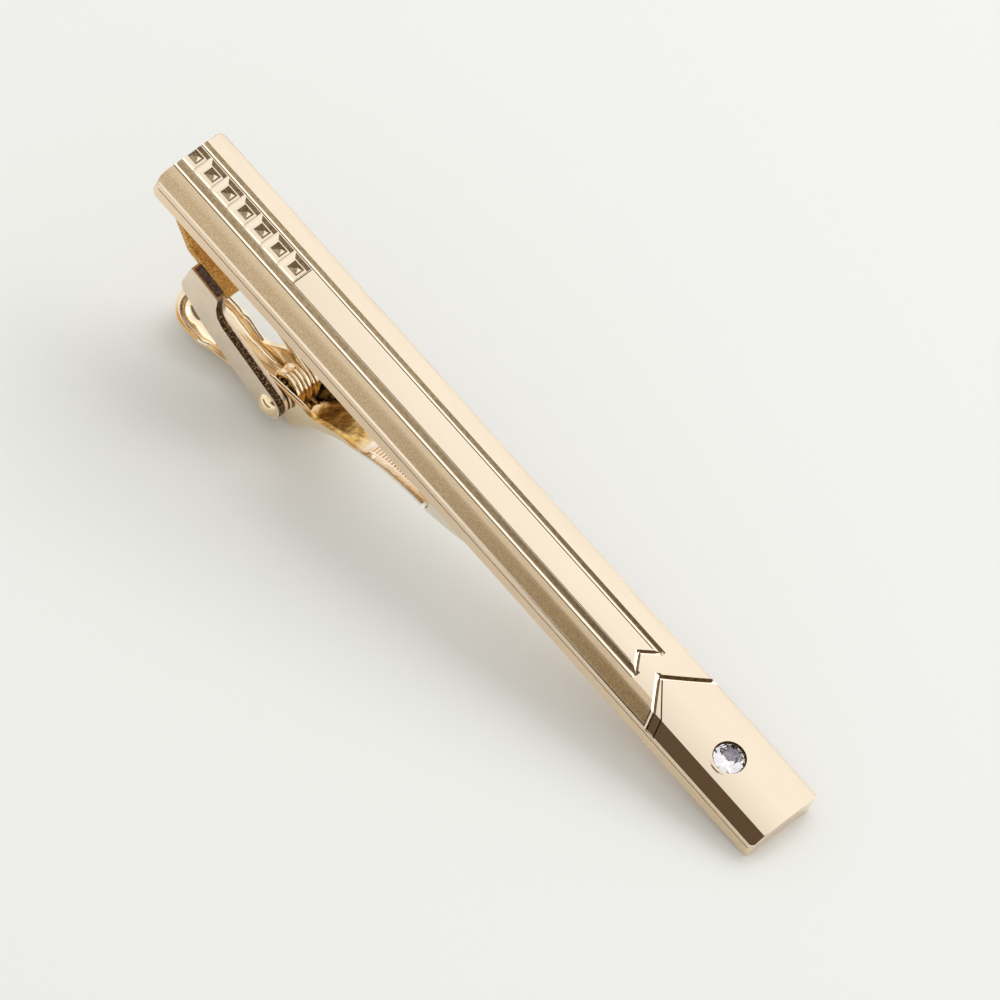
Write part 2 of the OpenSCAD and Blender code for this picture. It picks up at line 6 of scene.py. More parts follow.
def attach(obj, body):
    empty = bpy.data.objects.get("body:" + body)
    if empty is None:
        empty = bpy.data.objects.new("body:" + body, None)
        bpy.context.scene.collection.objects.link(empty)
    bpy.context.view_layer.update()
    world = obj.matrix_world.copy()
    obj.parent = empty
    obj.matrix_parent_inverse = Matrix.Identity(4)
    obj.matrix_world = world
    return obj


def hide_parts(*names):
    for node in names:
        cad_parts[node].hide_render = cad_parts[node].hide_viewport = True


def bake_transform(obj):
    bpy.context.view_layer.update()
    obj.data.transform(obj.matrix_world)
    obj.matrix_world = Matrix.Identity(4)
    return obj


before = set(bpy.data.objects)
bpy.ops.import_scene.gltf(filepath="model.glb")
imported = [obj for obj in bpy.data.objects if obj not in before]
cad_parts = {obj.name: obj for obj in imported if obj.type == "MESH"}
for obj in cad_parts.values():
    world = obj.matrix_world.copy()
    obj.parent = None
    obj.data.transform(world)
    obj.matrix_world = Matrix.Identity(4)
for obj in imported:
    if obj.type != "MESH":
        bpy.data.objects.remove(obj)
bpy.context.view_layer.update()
print("frame loaded")

# Everything below is drawn in millimetres, x from the bar's plain end and z from its back,
# and setPiece shrinks it to metres and slides it into the shared frame.
gripX = 32.106
mm = 0.001
pivot = (14.606, -8.593)


# Camera

cameraSet = {
    "lookAt": (30.391, 2.608, -2.815),
    "distance": 1000.0,
    "right": (0.6563, 0.7128, 0.2476),
    "up": (-0.7335, 0.5261, 0.4311),
    "picture": 66.33,  # millimetres across the picture
}


def makeCamera():
    s = cameraSet
    right = Vector(s["right"]).normalized()
    back = right.cross(Vector(s["up"])).normalized()
    up = back.cross(right)
    bpy.ops.object.camera_add()
    cam = bpy.context.object
    cam.name = "photoCamera"
    spot = Vector(s["lookAt"]) - Vector((gripX, 0, 0)) + back * s["distance"]
    turn = Matrix((right, up, back)).transposed().to_4x4()
    cam.matrix_world = Matrix.Translation(spot * mm) @ turn
    cam.data.sensor_width = 36
    cam.data.lens = 36 * s["distance"] / s["picture"]
    cam.data.clip_end = 20
    bpy.context.scene.camera = cam


makeCamera()


# Small helpers

def pickOnly(*objs):
    if bpy.context.object and bpy.context.object.mode != "OBJECT":
        bpy.ops.object.mode_set(mode="OBJECT")
    bpy.ops.object.select_all(action="DESELECT")
    for o in objs:
        o.select_set(True)
    bpy.context.view_layer.objects.active = objs[0]


def openMesh(obj, mode="VERT"):
    pickOnly(obj)
    bpy.ops.object.mode_set(mode="EDIT")
    bpy.ops.mesh.select_mode(type=mode)
    bpy.ops.mesh.select_all(action="DESELECT")


def closeMesh():
    bpy.ops.object.mode_set(mode="OBJECT")


def reopenMesh(obj):
    # back to editing with the selection as it was
    pickOnly(obj)
    bpy.ops.object.mode_set(mode="EDIT")


def takeAll():
    bpy.ops.mesh.select_all(action="SELECT")


def faceOut():
    takeAll()
    bpy.ops.mesh.normals_make_consistent(inside=False)


def selectEdges(obj, test):
    # marks the edges that pass the test, and only those
    closeMesh()
    me = obj.data
    for f in me.polygons:
        f.select = False
    for v in me.vertices:
        v.select = False
    for e in me.edges:
        a, b = (me.vertices[i].co for i in e.vertices)
        e.select = bool(test(a, b))
        if e.select:
            for i in e.vertices:
                me.vertices[i].select = True
    bpy.ops.object.mode_set(mode="EDIT")
    bpy.ops.mesh.select_mode(type="EDGE")


def useModifier(obj, kind, **values):
    pickOnly(obj)
    m = obj.modifiers.new(kind.title(), kind)
    for k, v in values.items():
        setattr(m, k, v)
    bpy.ops.object.modifier_apply(modifier=m.name)


def softEdges(obj, width, segments, angle):
    useModifier(obj, "BEVEL", width=width, segments=segments, limit_method="ANGLE",
                angle_limit=math.radians(angle))


def cutAway(obj, cutter, operation="DIFFERENCE"):
    useModifier(obj, "BOOLEAN", object=cutter, operation=operation, solver="EXACT")
    pickOnly(cutter)
    bpy.ops.object.delete()


def applyPlace(obj):
    pickOnly(obj)
    bpy.ops.object.transform_apply(location=True, rotation=True, scale=True)


def joinAll(objs):
    pickOnly(*objs)
    bpy.ops.object.join()
    return bpy.context.object


def setPiece(obj, name, tones, body, nodes, angle=30):
    # shrinks a finished piece to metres, in its place, and hands it to the frame
    obj.location = (-gripX * mm, 0, 0)
    obj.scale = (mm, mm, mm)
    applyPlace(obj)
    obj.name = name
    obj.data.name = name
    for m in tones:
        obj.data.materials.append(m)
    bpy.ops.object.shade_smooth_by_angle(angle=math.radians(angle))
    if body:
        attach(obj, body)
    if nodes:
        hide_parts(*nodes)
    print("made", name, len(obj.data.polygons))
    return obj


# Finishes

def startFinish(name, colour, roughness, metallic=1.0):
    m = bpy.data.materials.new(name)
    m.use_nodes = True
    b = m.node_tree.nodes["Principled BSDF"]
    b.inputs["Base Color"].default_value = (*colour, 1)
    b.inputs["Roughness"].default_value = roughness
    b.inputs["Metallic"].default_value = metallic
    return m, m.node_tree, b


def addNode(tree, kind, **values):
    n = tree.nodes.new(kind)
    for k, v in values.items():
        if k in n.inputs:
            n.inputs[k].default_value = v
        else:
            setattr(n, k, v)
    return n


def objectPlace(tree, stretch=(1, 1, 1)):
    c = tree.nodes.new("ShaderNodeTexCoord")
    s = tree.nodes.new("ShaderNodeMapping")
    s.inputs["Scale"].default_value = stretch
    tree.links.new(c.outputs["Object"], s.inputs["Vector"])
    return s.outputs["Vector"]


def grain(tree, size, stretch=(1, 1, 1), detail=3.0, rough=0.6):
    # noise whose lumps are about size millimetres across
    n = addNode(tree, "ShaderNodeTexNoise", Scale=1 / (size * mm), Detail=detail, Roughness=rough)
    tree.links.new(objectPlace(tree, stretch), n.inputs["Vector"])
    return n.outputs["Fac"]


def between(tree, value, low, high, toLow=0.0, toHigh=1.0):
    r = addNode(tree, "ShaderNodeMapRange", clamp=True)
    tree.links.new(value, r.inputs["Value"])
    for k, v in (("From Min", low), ("From Max", high), ("To Min", toLow), ("To Max", toHigh)):
        r.inputs[k].default_value = v
    return r.outputs["Result"]


def sums(tree, operation, a, b):
    n = addNode(tree, "ShaderNodeMath", operation=operation)
    for i, v in enumerate((a, b)):
        if isinstance(v, (int, float)):
            n.inputs[i].default_value = v
        else:
            tree.links.new(v, n.inputs[i])
    return n.outputs["Value"]


def times(tree, a, b):
    return sums(tree, "MULTIPLY", a, b)


def barSpan(pair):
    # places along the bar, as object coordinates
    return [(v - gripX) * mm for v in pair]


def span(pair):
    return [v * mm for v in pair]


def dim(colour, share):
    return tuple(c * share for c in colour)


def blendColours(tree, share, first, second):
    n = addNode(tree, "ShaderNodeMix", data_type="RGBA")
    tree.links.new(share, n.inputs["Factor"])
    for socket, c in ((n.inputs[6], first), (n.inputs[7], second)):
        if isinstance(c, tuple):
            socket.default_value = (*c, 1)
        else:
            tree.links.new(c, socket)
    return n.outputs[2]


def mixShaders(tree, share, first, second):
    mix = tree.nodes.new("ShaderNodeMixShader")
    for socket, v in zip(mix.inputs, (share, first, second)):
        tree.links.new(v, socket)
    return mix.outputs[0]


def paint(tree, shader, colour):
    tree.links.new(colour, shader.inputs["Base Color"])


def addBump(tree, shader, height, depth):
    b = addNode(tree, "ShaderNodeBump", Strength=1.0, Distance=depth * mm)
    tree.links.new(height, b.inputs["Height"])
    tree.links.new(b.outputs["Normal"], shader.inputs["Normal"])


goldTones = {
    "polished": (0.97, 0.84, 0.67),
    "satin": (0.92, 0.79, 0.63),
    # painted shade for the bar's side faces, lighter towards the stone
    "side": (0.94, 0.73, 0.52),
    "sideLight": (0.95, 0.76, 0.55),
    "matt": (0.87, 0.69, 0.465),
    # painted dark reflection on the blasted band
    "bandDarkReflection": (0.66, 0.50, 0.31),
    "bandDarkReflectionEnd": (0.64, 0.45, 0.23),
    # painted shade in the engraving, brown and darker
    "brownShade": (0.30, 0.22, 0.125),
    "brownShadeLight": (0.52, 0.39, 0.24),
    "darkShade": (0.14, 0.09, 0.05),
    "darkShadeLight": (0.34, 0.24, 0.145),
    "lever": (0.96, 0.80, 0.57),
    "jaw": (0.97, 0.89, 0.78),
    "rivet": (0.95, 0.78, 0.50),
    # painted shade in the lever's throat, with painted highlights
    "deep": (0.36, 0.19, 0.04),
    "throatGlint": (0.95, 0.63, 0.20),
    "torn": (0.05, 0.03, 0.02),
    "tornLight": (0.66, 0.48, 0.26),
    "raw": (0.92, 0.58, 0.19),
    "rawDark": (0.42, 0.20, 0.05),
    # the braze, painted near black partly as the shade in the crease between leg and web
    "braze": (0.07, 0.04, 0.03),
    "brazeLight": (0.22, 0.14, 0.10),
    "rim": (0.16, 0.10, 0.06),
    "rimDark": (0.10, 0.06, 0.04),
    "rimLight": (0.30, 0.20, 0.12),
}


def xyz(tree):
    c = tree.nodes.new("ShaderNodeTexCoord")
    s = tree.nodes.new("ShaderNodeSeparateXYZ")
    tree.links.new(c.outputs["Object"], s.inputs["Vector"])
    return s.outputs["X"], s.outputs["Y"], s.outputs["Z"]


def polishedGilt(name, gold):
    m, t, b = startFinish(name, gold, 0.14)
    drift = grain(t, 3.0, (0.5, 1, 1))
    paint(t, b, blendColours(t, between(t, drift, 0.35, 0.65), gold, dim(gold, 0.94)))
    wear = grain(t, 0.12, (0.06, 1, 1), 4)
    t.links.new(between(t, wear, 0.3, 0.75, 0.1, 0.2), b.inputs["Roughness"])
    addBump(t, b, wear, 0.0012)
    return m


def satinGilt():
    gold = goldTones["satin"]
    m, t, b = startFinish("satinGilt", gold, 0.34)
    cloud = grain(t, 1.2)
    paint(t, b, blendColours(t, between(t, cloud, 0.3, 0.7), gold, dim(gold, 0.9)))
    fine = grain(t, 0.08, (0.3, 1, 1), 4)
    t.links.new(between(t, fine, 0.3, 0.7, 0.28, 0.42), b.inputs["Roughness"])
    addBump(t, b, fine, 0.002)
    return m


def lumpyGilt(name, tones, roughness, lumps, low, high, relief, wear=None):
    # two tones and a rough skin from one noise; tones are the plain colour, then the hollows and the lumps
    plain, hollow, lump = (goldTones[k] for k in tones)
    m, t, b = startFinish(name, plain, roughness)
    height = grain(t, *lumps)
    paint(t, b, blendColours(t, between(t, height, low, high), hollow, lump))
    if wear:
        t.links.new(between(t, height, 0.3, 0.7, *wear), b.inputs["Roughness"])
    addBump(t, b, height, relief)
    return m


barLook = {
    "mattEdgeY": -1.44,   # the blasted panel starts here
    "mattLowY": -2.84,    # and stops short of the shoulder
    "panelEnds": ((46.98, 0.85), (47.66, 0.5)),  # and ends at the chevron: place and lean, face and band
    "bandY": -1.98, "bandSoft": 0.22,  # the sloping band is blasted, with a painted dark reflection on it
    "toneX": (22.0, 46.0),  # that darkens towards the stone, where the side's painted shade gets lighter
    "mattGrain": 0.05, "mattRough": 0.42, "mattRelief": 14.0, "panelEdge": 0.02,
    "sideZ": (1.5, 1.4),  # below this the side's painted shade
}


def barGilt():
    # polished all over and blasted on one long panel, with painted shade on the side faces and a painted
    # dark reflection on the blasted band
    look, gold = barLook, goldTones["polished"]
    edge = look["panelEdge"]
    m, t, b = startFinish("barGilt", gold, 0.12)
    x, y, z = xyz(t)
    off = sums(t, "ABSOLUTE", y, 0)
    stops = [sums(t, "ADD", times(t, off, lean), (x0 - gripX) * mm) for x0, lean in look["panelEnds"]]
    endX = sums(t, "MINIMUM", *stops)
    beforeEnd = between(t, sums(t, "SUBTRACT", endX, x), -edge * mm, edge * mm)
    top, low = look["mattEdgeY"], look["mattLowY"]
    onPanel = times(t, between(t, y, (top + edge) * mm, (top - edge) * mm),
                    between(t, y, (low - edge) * mm, (low + edge) * mm))
    matt = times(t, beforeEnd, onPanel)
    bandY, soft = look["bandY"], look["bandSoft"]
    onBand = between(t, y, (bandY + soft) * mm, (bandY - soft) * mm)
    along = between(t, x, *barSpan(look["toneX"]))
    fine = grain(t, look["mattGrain"], (1, 1, 1), 2, 0.5)
    speck = grain(t, look["mattGrain"] * 2.2, (1, 1, 1), 2, 0.7)
    flat, band, bandEnd = (goldTones[k] for k in ("matt", "bandDarkReflection", "bandDarkReflectionEnd"))
    smoothMatt = blendColours(t, between(t, speck, 0.35, 0.65), flat, dim(flat, 0.9))
    strong = between(t, speck, 0.38, 0.62)
    bandReflectionNearStone = blendColours(t, strong, bandEnd, dim(bandEnd, 0.65))
    bandReflectionFar = blendColours(t, strong, dim(band, 1.12), dim(band, 0.84))
    # the sloping band gets a painted dark reflection, darker towards the stone
    mattWithBandReflection = blendColours(t, onBand, smoothMatt, blendColours(t, along, bandReflectionFar, bandReflectionNearStone))
    drift = grain(t, 4.0, (0.4, 1, 1))
    shine = blendColours(t, between(t, drift, 0.35, 0.65), gold, dim(gold, 0.97))
    # the side faces take painted shade, lighter towards the stone
    side = blendColours(t, along, goldTones["side"], goldTones["sideLight"])
    onSide = between(t, z, *span(look["sideZ"]))
    paint(t, b, blendColours(t, matt, blendColours(t, onSide, shine, side), mattWithBandReflection))
    wear = grain(t, 0.15, (0.05, 1, 1), 4)
    roughMix = addNode(t, "ShaderNodeMix", data_type="FLOAT")
    t.links.new(matt, roughMix.inputs["Factor"])
    t.links.new(between(t, wear, 0.3, 0.75, 0.07, 0.13), roughMix.inputs[2])
    roughMix.inputs[3].default_value = look["mattRough"]
    t.links.new(roughMix.outputs[0], b.inputs["Roughness"])
    addBump(t, b, sums(t, "ADD", times(t, times(t, matt, fine), look["mattRelief"]), wear), 0.0012)
    return m


finishes = {
    "wire": polishedGilt("wireGilt", goldTones["lever"]),
    "rivet": polishedGilt("rivetGilt", goldTones["rivet"]),
    "satin": satinGilt(),
    "bar": barGilt(),
    "raw": lumpyGilt("rawGilt", ("raw", "rawDark", "raw"), 0.45, (0.13, (1, 1, 1), 5, 0.7), 0.36, 0.6, 0.06,
                     (0.6, 0.3)),
    # the braze is painted near black, partly as the shade in the crease between leg and web
    "braze": lumpyGilt("brazeWithCreaseShade", ("braze", "braze", "brazeLight"), 0.5, (0.16, (1, 1, 1), 5, 0.7),
                       0.42, 0.66, 0.08),
    # painted brown shade on the engraving's walls that face away from the light
    "brownShade": lumpyGilt("paintedBrownShade", ("brownShade", "brownShade", "brownShadeLight"), 0.3,
                        (0.12, (0.4, 1, 1), 4, 0.65), 0.36, 0.64, 0.01),
    # painted dark shade for the deepest and most hidden cuts
    "darkShadeFill": lumpyGilt("paintedDarkShade", ("darkShade", "darkShade", "darkShadeLight"), 0.42,
                         (0.12, (0.4, 1, 1), 4, 0.65), 0.36, 0.64, 0.01),
}


# Engraved bar

barSet = {
    "length": 60.0, "width": 6.0, "thick": 2.0,
    "crown": 0.08, "bandWide": 1.05, "bandDrop": 0.45,
    "plainCorner": 0.6, "stoneCorner": 0.3, "edgeRound": 0.2, "cutRound": 0.02,
    "strips": 10, "stripWide": 0.5,  # the face is cut lengthways into strips that follow its crown
    "overrun": 1.0,
    "middle": 0.17,         # the engraving's own middle line
    "wallSlope": 0.45,      # depth of a groove for each half of its width
    "grooves": [(1.42, 0.5), (-1.07, 0.64)],  # place across the bar, width
    "grooveEnd": 46.12,
    "scribes": [(1.13, 0.07, 45.5), (-0.7, 0.06, 45.3), (-1.43, 0.07, 46.2)],  # place, width, end
    "tailX": 45.1, "tailWide": 0.36, "tailLean": -0.5, "dotRound": 0.17,
    "chevronX": 47.25, "chevronRun": 0.85, "chevronRunBand": 0.5, "chevronLine": 0.1,
    "chevronCuts": ((0.13, 0.42, -0.65), (-0.16, 0.38, 0.6), (-0.16, 0.38, 0.6)),  # shift, width, lean
    "chevronShifts": (0.25, 0.62, 0.6),  # a fine line behind the near arm
    "shoulderLines": [(-2.93, 1.35), (-3.0, 1.04)], "shoulderCut": (0.06, 0.05),  # width, depth
    "squares": 7, "squarePitch": 1.69, "squareStart": 0.435, "squareY": 0.325, "squareDeep": 0.2,
    "pitTop": (-0.9, 0.66, -1.01, 0.73), "pitFloor": (-0.6, 0.6, -0.76, 0.4),
    "blockBase": (-0.42, 0.36, -0.4, 0.26), "blockTip": (0.05, 0.11, -0.03, 0.03), "moat": 0.09,
    "crossLines": (11.12, 11.3), "crossY": (-0.68, 1.03), "crossCut": (0.07, 0.05),
    "seatX": 54.4, "seatAcross": 2.36, "seatDeep": 1.28,
    # a thin crescent cut just below the stone, painted dark as the crescent of shade under the seat's rim
    "nickRound": 1.46, "nickWire": 0.07, "nickLean": 9.0, "nickY": 0.02, "nickRise": 0.25,
}
flatHalf = barSet["width"] / 2 - barSet["bandWide"]


def faceZ(y):
    s = barSet
    crown = s["crown"] * (2 * y / s["width"]) ** 2
    return s["thick"] - crown - s["bandDrop"] * max(0, -y - flatHalf) / s["bandWide"]


def vCutter(a, b, width, deep, lean=0.0):
    # a bar of diamond section whose lower half is the groove from a to b; lean makes one wall the steeper
    a, b = Vector(a), Vector(b)
    run = b - a
    bpy.ops.mesh.primitive_cube_add(size=1, rotation=(math.pi / 4, 0, 0))
    c = bpy.context.object
    applyPlace(c)
    c.dimensions = (run.length + width / 2, width, 2 * deep * (1 + abs(lean)))
    applyPlace(c)
    for v in c.data.vertices:
        if v.co.z < -deep / 2:
            v.co.y += lean * width / 2
    c.rotation_euler = (0, -math.atan2(run.z, math.hypot(run.x, run.y)), math.atan2(run.y, run.x))
    c.location = (a + b) / 2
    applyPlace(c)
    return c


def taperedBox(top, floor, topZ, floorZ):
    # a box whose upper and lower faces are rectangles of their own
    bpy.ops.mesh.primitive_cube_add(size=1)
    box = bpy.context.object
    for v in box.data.vertices:
        x0, x1, y0, y1 = top if v.co.z > 0 else floor
        v.co = (x1 if v.co.x > 0 else x0, y1 if v.co.y > 0 else y0, topZ if v.co.z > 0 else floorZ)
    return box


def squareCutter():
    # a pit with two easy walls, and in its moat a tent left standing
    s = barSet
    deep, rise, moat = s["squareDeep"], 0.1, s["moat"]
    shallow = deep / 2
    grow = 1 + rise / shallow
    mouth = [low + (top - low) * grow for top, low in zip(s["pitTop"], s["pitFloor"])]
    pit = taperedBox(mouth, s["pitFloor"], rise, -shallow)
    ring = [edge + side * moat for edge, side in zip(s["blockBase"], (-1, 1, -1, 1))]
    cutAway(pit, taperedBox(ring, s["blockBase"], -shallow + 0.05, -deep), "UNION")
    cutAway(pit, taperedBox(s["blockTip"], s["blockBase"], -0.01, -deep - 0.01))
    return pit


def crownNormal(y):
    # the face's true direction, used so that polish shows no seams between the strips
    s = barSet
    slope = s["bandDrop"] / s["bandWide"] if y < -flatHalf else 0
    return Vector((0, 8 * s["crown"] * y / s["width"] ** 2 - slope, 1)).normalized()


polishSet = {
    "onFace": 0.9995, "nearFace": 0.03,  # how close a face lies to the ideal crown
    "sliver": 0.012,   # area of the small bevel's faces for each millimetre round them
    "leadTurn": 0.62, "groupTurn": 0.96, "ownTurn": 0.5, "sharp": 0.9999,  # cosines
    "power": 1.5,
}


def isSliver(me, f):
    # the narrow faces that the small bevel leaves along each cut
    spots = [me.vertices[i].co for i in f.vertices]
    girth = sum((a - b).length for a, b in zip(spots, spots[1:] + spots[:1]))
    return f.area < girth * polishSet["sliver"] * mm


def settleNormals(obj):
    # each corner takes the direction of the largest faces round it
    s, me = polishSet, obj.data
    around = [[] for _ in me.vertices]
    aims = []
    for f in me.polygons:
        y, z = f.center.y / mm, f.center.z / mm
        isTop = f.normal.dot(crownNormal(y)) > s["onFace"] and abs(z - faceZ(y)) < s["nearFace"]
        aims.append(y if isTop else None)
        for i in f.vertices:
            around[i].append(f)

    def aim(f, v):
        # a corner on the crease takes its face's side of it
        at = aims[f.index]
        if at is None:
            return f.normal
        y = v.co.y / mm
        return crownNormal(min(y, -flatHalf - 0.001) if at < -flatHalf else max(y, -flatHalf))

    corners = [None] * len(me.loops)
    for f in me.polygons:
        narrow = isSliver(me, f)
        for k in f.loop_indices:
            v = me.vertices[me.loops[k].vertex_index]
            if aims[f.index] is not None:
                corners[k] = aim(f, v)
                continue
            lead = max(around[v.index], key=lambda g: g.area) if narrow else f
            if f.normal.dot(lead.normal) < s["leadTurn"]:
                lead = f
            total = Vector((0, 0, 0))
            for g in around[v.index]:
                if g.normal.dot(lead.normal) > s["groupTurn"] and g.normal.dot(f.normal) > s["ownTurn"]:
                    total += aim(g, v) * g.area ** s["power"]
            corners[k] = total.normalized() if total.length > 0 else f.normal.copy()
    sides = [[] for _ in me.edges]
    for f in me.polygons:
        loops = list(f.loop_indices)
        for k, after in zip(loops, loops[1:] + loops[:1]):
            sides[me.loops[k].edge_index].append({me.loops[i].vertex_index: corners[i] for i in (k, after)})
    for e, pair in zip(me.edges, sides):
        e.use_edge_sharp = len(pair) < 2 or any(pair[0][i].dot(pair[1][i]) < s["sharp"] for i in e.vertices)
    if "custom_normal" in me.attributes:
        me.attributes.remove(me.attributes["custom_normal"])
    kept = me.attributes.new("custom_normal", "FLOAT_VECTOR", "CORNER")
    kept.data.foreach_set("vector", [c for corner in corners for c in corner])
    me.update()


def chevronPlace(y, shift=0.0):
    s = barSet
    onBand = max(0, -y - flatHalf)
    across = abs(y - s["middle"]) - onBand
    return (s["chevronX"] + shift + s["chevronRun"] * across + s["chevronRunBand"] * onBand, y, faceZ(y))


def engrave(bar):
    s = barSet
    half, end, slope, over = s["width"] / 2, s["grooveEnd"], s["wallSlope"] / 2, s["overrun"]
    for y, wide in s["grooves"]:
        at = (end, y, faceZ(y))
        cutAway(bar, vCutter((-over, y, faceZ(y)), at, wide, wide * slope))
        cutAway(bar, vCutter(at, (s["tailX"], s["middle"], s["thick"]), s["tailWide"], s["tailWide"] * slope,
                             s["tailLean"]))
    for y, wide, stop in s["scribes"]:
        cutAway(bar, vCutter((-over, y, faceZ(y)), (stop, y, faceZ(y)), wide, wide))
    bpy.ops.mesh.primitive_uv_sphere_add(segments=16, ring_count=10, radius=s["dotRound"],
                                         location=(end, s["grooves"][0][0], s["thick"]))
    cutAway(bar, bpy.context.object)
    stops = [half + 0.2, s["middle"], -flatHalf, -half - 0.2]
    for a, b, (shift, wide, lean) in zip(stops, stops[1:], s["chevronCuts"]):
        cutAway(bar, vCutter(chevronPlace(a, shift), chevronPlace(b, shift), wide, wide * slope, lean))
    stops = list(zip((s["middle"] - 0.1, -flatHalf, -half), s["chevronShifts"]))
    for a, b in zip(stops, stops[1:]):
        cutAway(bar, vCutter(chevronPlace(*a), chevronPlace(*b), s["chevronLine"], s["chevronLine"]))
    y0, y1 = s["crossY"]
    for x in s["crossLines"]:
        cutAway(bar, vCutter((x, y0, s["thick"]), (x, y1, s["thick"]), *s["crossCut"]))
    for y, z in s["shoulderLines"]:
        cutAway(bar, vCutter((-over, y, z), (s["length"] + over, y, z), *s["shoulderCut"]))
    pit = squareCutter()
    for i in range(s["squares"]):
        pickOnly(pit)
        bpy.ops.object.duplicate(linked=False)
        copy = bpy.context.object
        copy.location = (s["squareStart"] + i * s["squarePitch"], s["squareY"], s["thick"])
        applyPlace(copy)
        cutAway(bar, copy)
    pickOnly(pit)
    bpy.ops.object.delete()
    bpy.ops.mesh.primitive_cylinder_add(vertices=64, radius=s["seatAcross"] / 2, depth=s["seatDeep"],
                                        location=(s["seatX"], 0, s["thick"] + 0.1 - s["seatDeep"] / 2))
    cutAway(bar, bpy.context.object)
    bpy.ops.mesh.primitive_torus_add(major_segments=96, minor_segments=8, major_radius=s["nickRound"],
                                     minor_radius=s["nickWire"],
                                     rotation=(math.radians(s["nickLean"]), 0, 0),
                                     location=(s["seatX"], s["nickY"], s["thick"] + s["nickRise"]))
    cutAway(bar, bpy.context.object)


toneSet = {
    "deepest": 0.015,   # shallower than this counts as the bright face
    "sideZ": 1.4, "shoulder": (0.02, 0.3, 4.0, 0.3),  # how near the side, how level, area and depth
    "squareX": 11.0, "squareY": (-0.74, 1.08), "block": (-0.55, 0.5, 0.7),
    "crossX": (11.0, 11.4), "crossY": (-0.7, 1.05),
    "armTilt": 0.25, "armEndX": 50.0, "lineShift": (0.2, 0.8), "lineEndX": 50.6, "nickReach": 0.15,
}


def squareTone(x, y, depth, n):
    # a pit's far wall and its moat take painted dark shade, its walls and facets that face away take painted
    # brown shade
    s, k = barSet, toneSet
    off = (x - s["squareStart"] + s["squarePitch"] / 2) % s["squarePitch"] - s["squarePitch"] / 2
    x0, x1, y1 = k["block"]
    if x0 < off < x1 and y < y1:
        inMoat = depth > s["squareDeep"] - 0.02 or n.z < 0.75
        return 2 if inMoat else (1 if n.y < -0.3 else 0)
    return 2 if n.y < -0.2 else (1 if n.x < -0.3 else 0)


def barTone(f):
    # which finish a face has: 0 bright, 1 painted brown shade, 2 painted dark shade
    s, k = barSet, toneSet
    (x, y, z), n = f.center, f.normal
    depth = faceZ(y) - z
    near, level, area, low = k["shoulder"]
    # the shoulder lines' floors take painted dark shade
    if abs(y) > s["width"] / 2 - near and n.z > level and f.area < area and depth > low:
        return 2
    if depth < k["deepest"] or z < k["sideZ"]:
        return 0
    if x < k["squareX"] and k["squareY"][0] < y < k["squareY"][1]:
        return squareTone(x, y, depth, n)
    # the scribed and crossed lines are painted dark all over
    onScribe = any(x < stop and abs(y - at) < wide / 2 + 0.01 for at, wide, stop in s["scribes"])
    if onScribe or k["crossX"][0] < x < k["crossX"][1] and k["crossY"][0] < y < k["crossY"][1]:
        return 2
    # groove walls that face the near side get painted brown shade
    for at, wide in s["grooves"]:
        if x < s["grooveEnd"] - 0.3 and abs(y - at) < wide / 2 and n.y < -0.2:
            return 1
    inTail = x > s["tailX"] - 0.3 and -flatHalf - 1 < y < s["grooves"][0][0] - 0.1
    if inTail or x > s["chevronX"] - 0.3:
        # painted dark shade: the far arms on the wall that faces the stone, the near ones on the other wall
        # and along the fine line behind them
        if y > s["middle"] and n.x > k["armTilt"] and x < k["armEndX"]:
            return 2
        shift = x - chevronPlace(y)[0]
        onLine = k["lineShift"][0] < shift < k["lineShift"][1] and x < k["lineEndX"]
        if y < s["middle"] and (n.x < -k["armTilt"] and shift < 0.5 or onLine):
            return 2
    # the nick and the level floors past the chevron take painted dark shade
    nearStone = math.hypot(x - s["seatX"], y) < s["nickRound"] + k["nickReach"]
    return 2 if x > s["chevronX"] and (n.z > 0.97 or nearStone) else 0


def makeBar():
    s = barSet
    half = s["width"] / 2
    bpy.ops.mesh.primitive_cube_add(size=1, location=(s["length"] / 2, 0, s["thick"] / 2))
    bar = bpy.context.object
    bar.dimensions = (s["length"], s["width"], s["thick"])
    applyPlace(bar)
    openMesh(bar)
    for i in range(s["strips"]):
        takeAll()
        bpy.ops.mesh.bisect(plane_co=(0, -flatHalf + i * s["stripWide"], 0), plane_no=(0, 1, 0))
    closeMesh()
    for v in bar.data.vertices:
        if v.co.z > s["thick"] - 0.01:
            v.co.z = faceZ(v.co.y)
    openMesh(bar, "EDGE")
    for x, r in ((0.0, s["plainCorner"]), (s["length"], s["stoneCorner"])):
        selectEdges(bar, lambda a, b: abs(a.x - x) < 0.01 and abs(b.x - x) < 0.01
                    and abs(a.y) > half - 0.01 and abs(a.y - b.y) < 0.01)
        bpy.ops.mesh.bevel(offset=r, segments=7, affect="EDGES")
    closeMesh()
    softEdges(bar, s["edgeRound"], 4, 38)
    print("bar blank shaped")
    engrave(bar)
    print("engraving cut")
    softEdges(bar, s["cutRound"], 2, 20)
    tones = [finishes["bar"], finishes["brownShade"], finishes["darkShadeFill"]]
    for f in bar.data.polygons:
        f.material_index = barTone(f)
    setPiece(bar, "engravedBar", tones, "clip_frame", ["bar"])
    settleNormals(bar)


makeBar()


# Stone

stoneSet = {
    "x": 54.4, "across": 2.2, "table": 1.2, "crownRise": 0.32, "girdle": 0.06,
    "tableZ": 2.05, "pavilion": 0.8, "culet": 0.03,
    "starShares": (0.83, 0.42),  # width and drop of the crown's middle ring
    "lowerShares": (0.42, 0.62),  # the same below the girdle
    "foilGap": 0.06, "foilInset": 0.55, "foilDrop": 0.66,
    "rimRound": 1.13, "rimWire": 0.05, "rimZ": 1.8, "foilCell": 0.42,
}


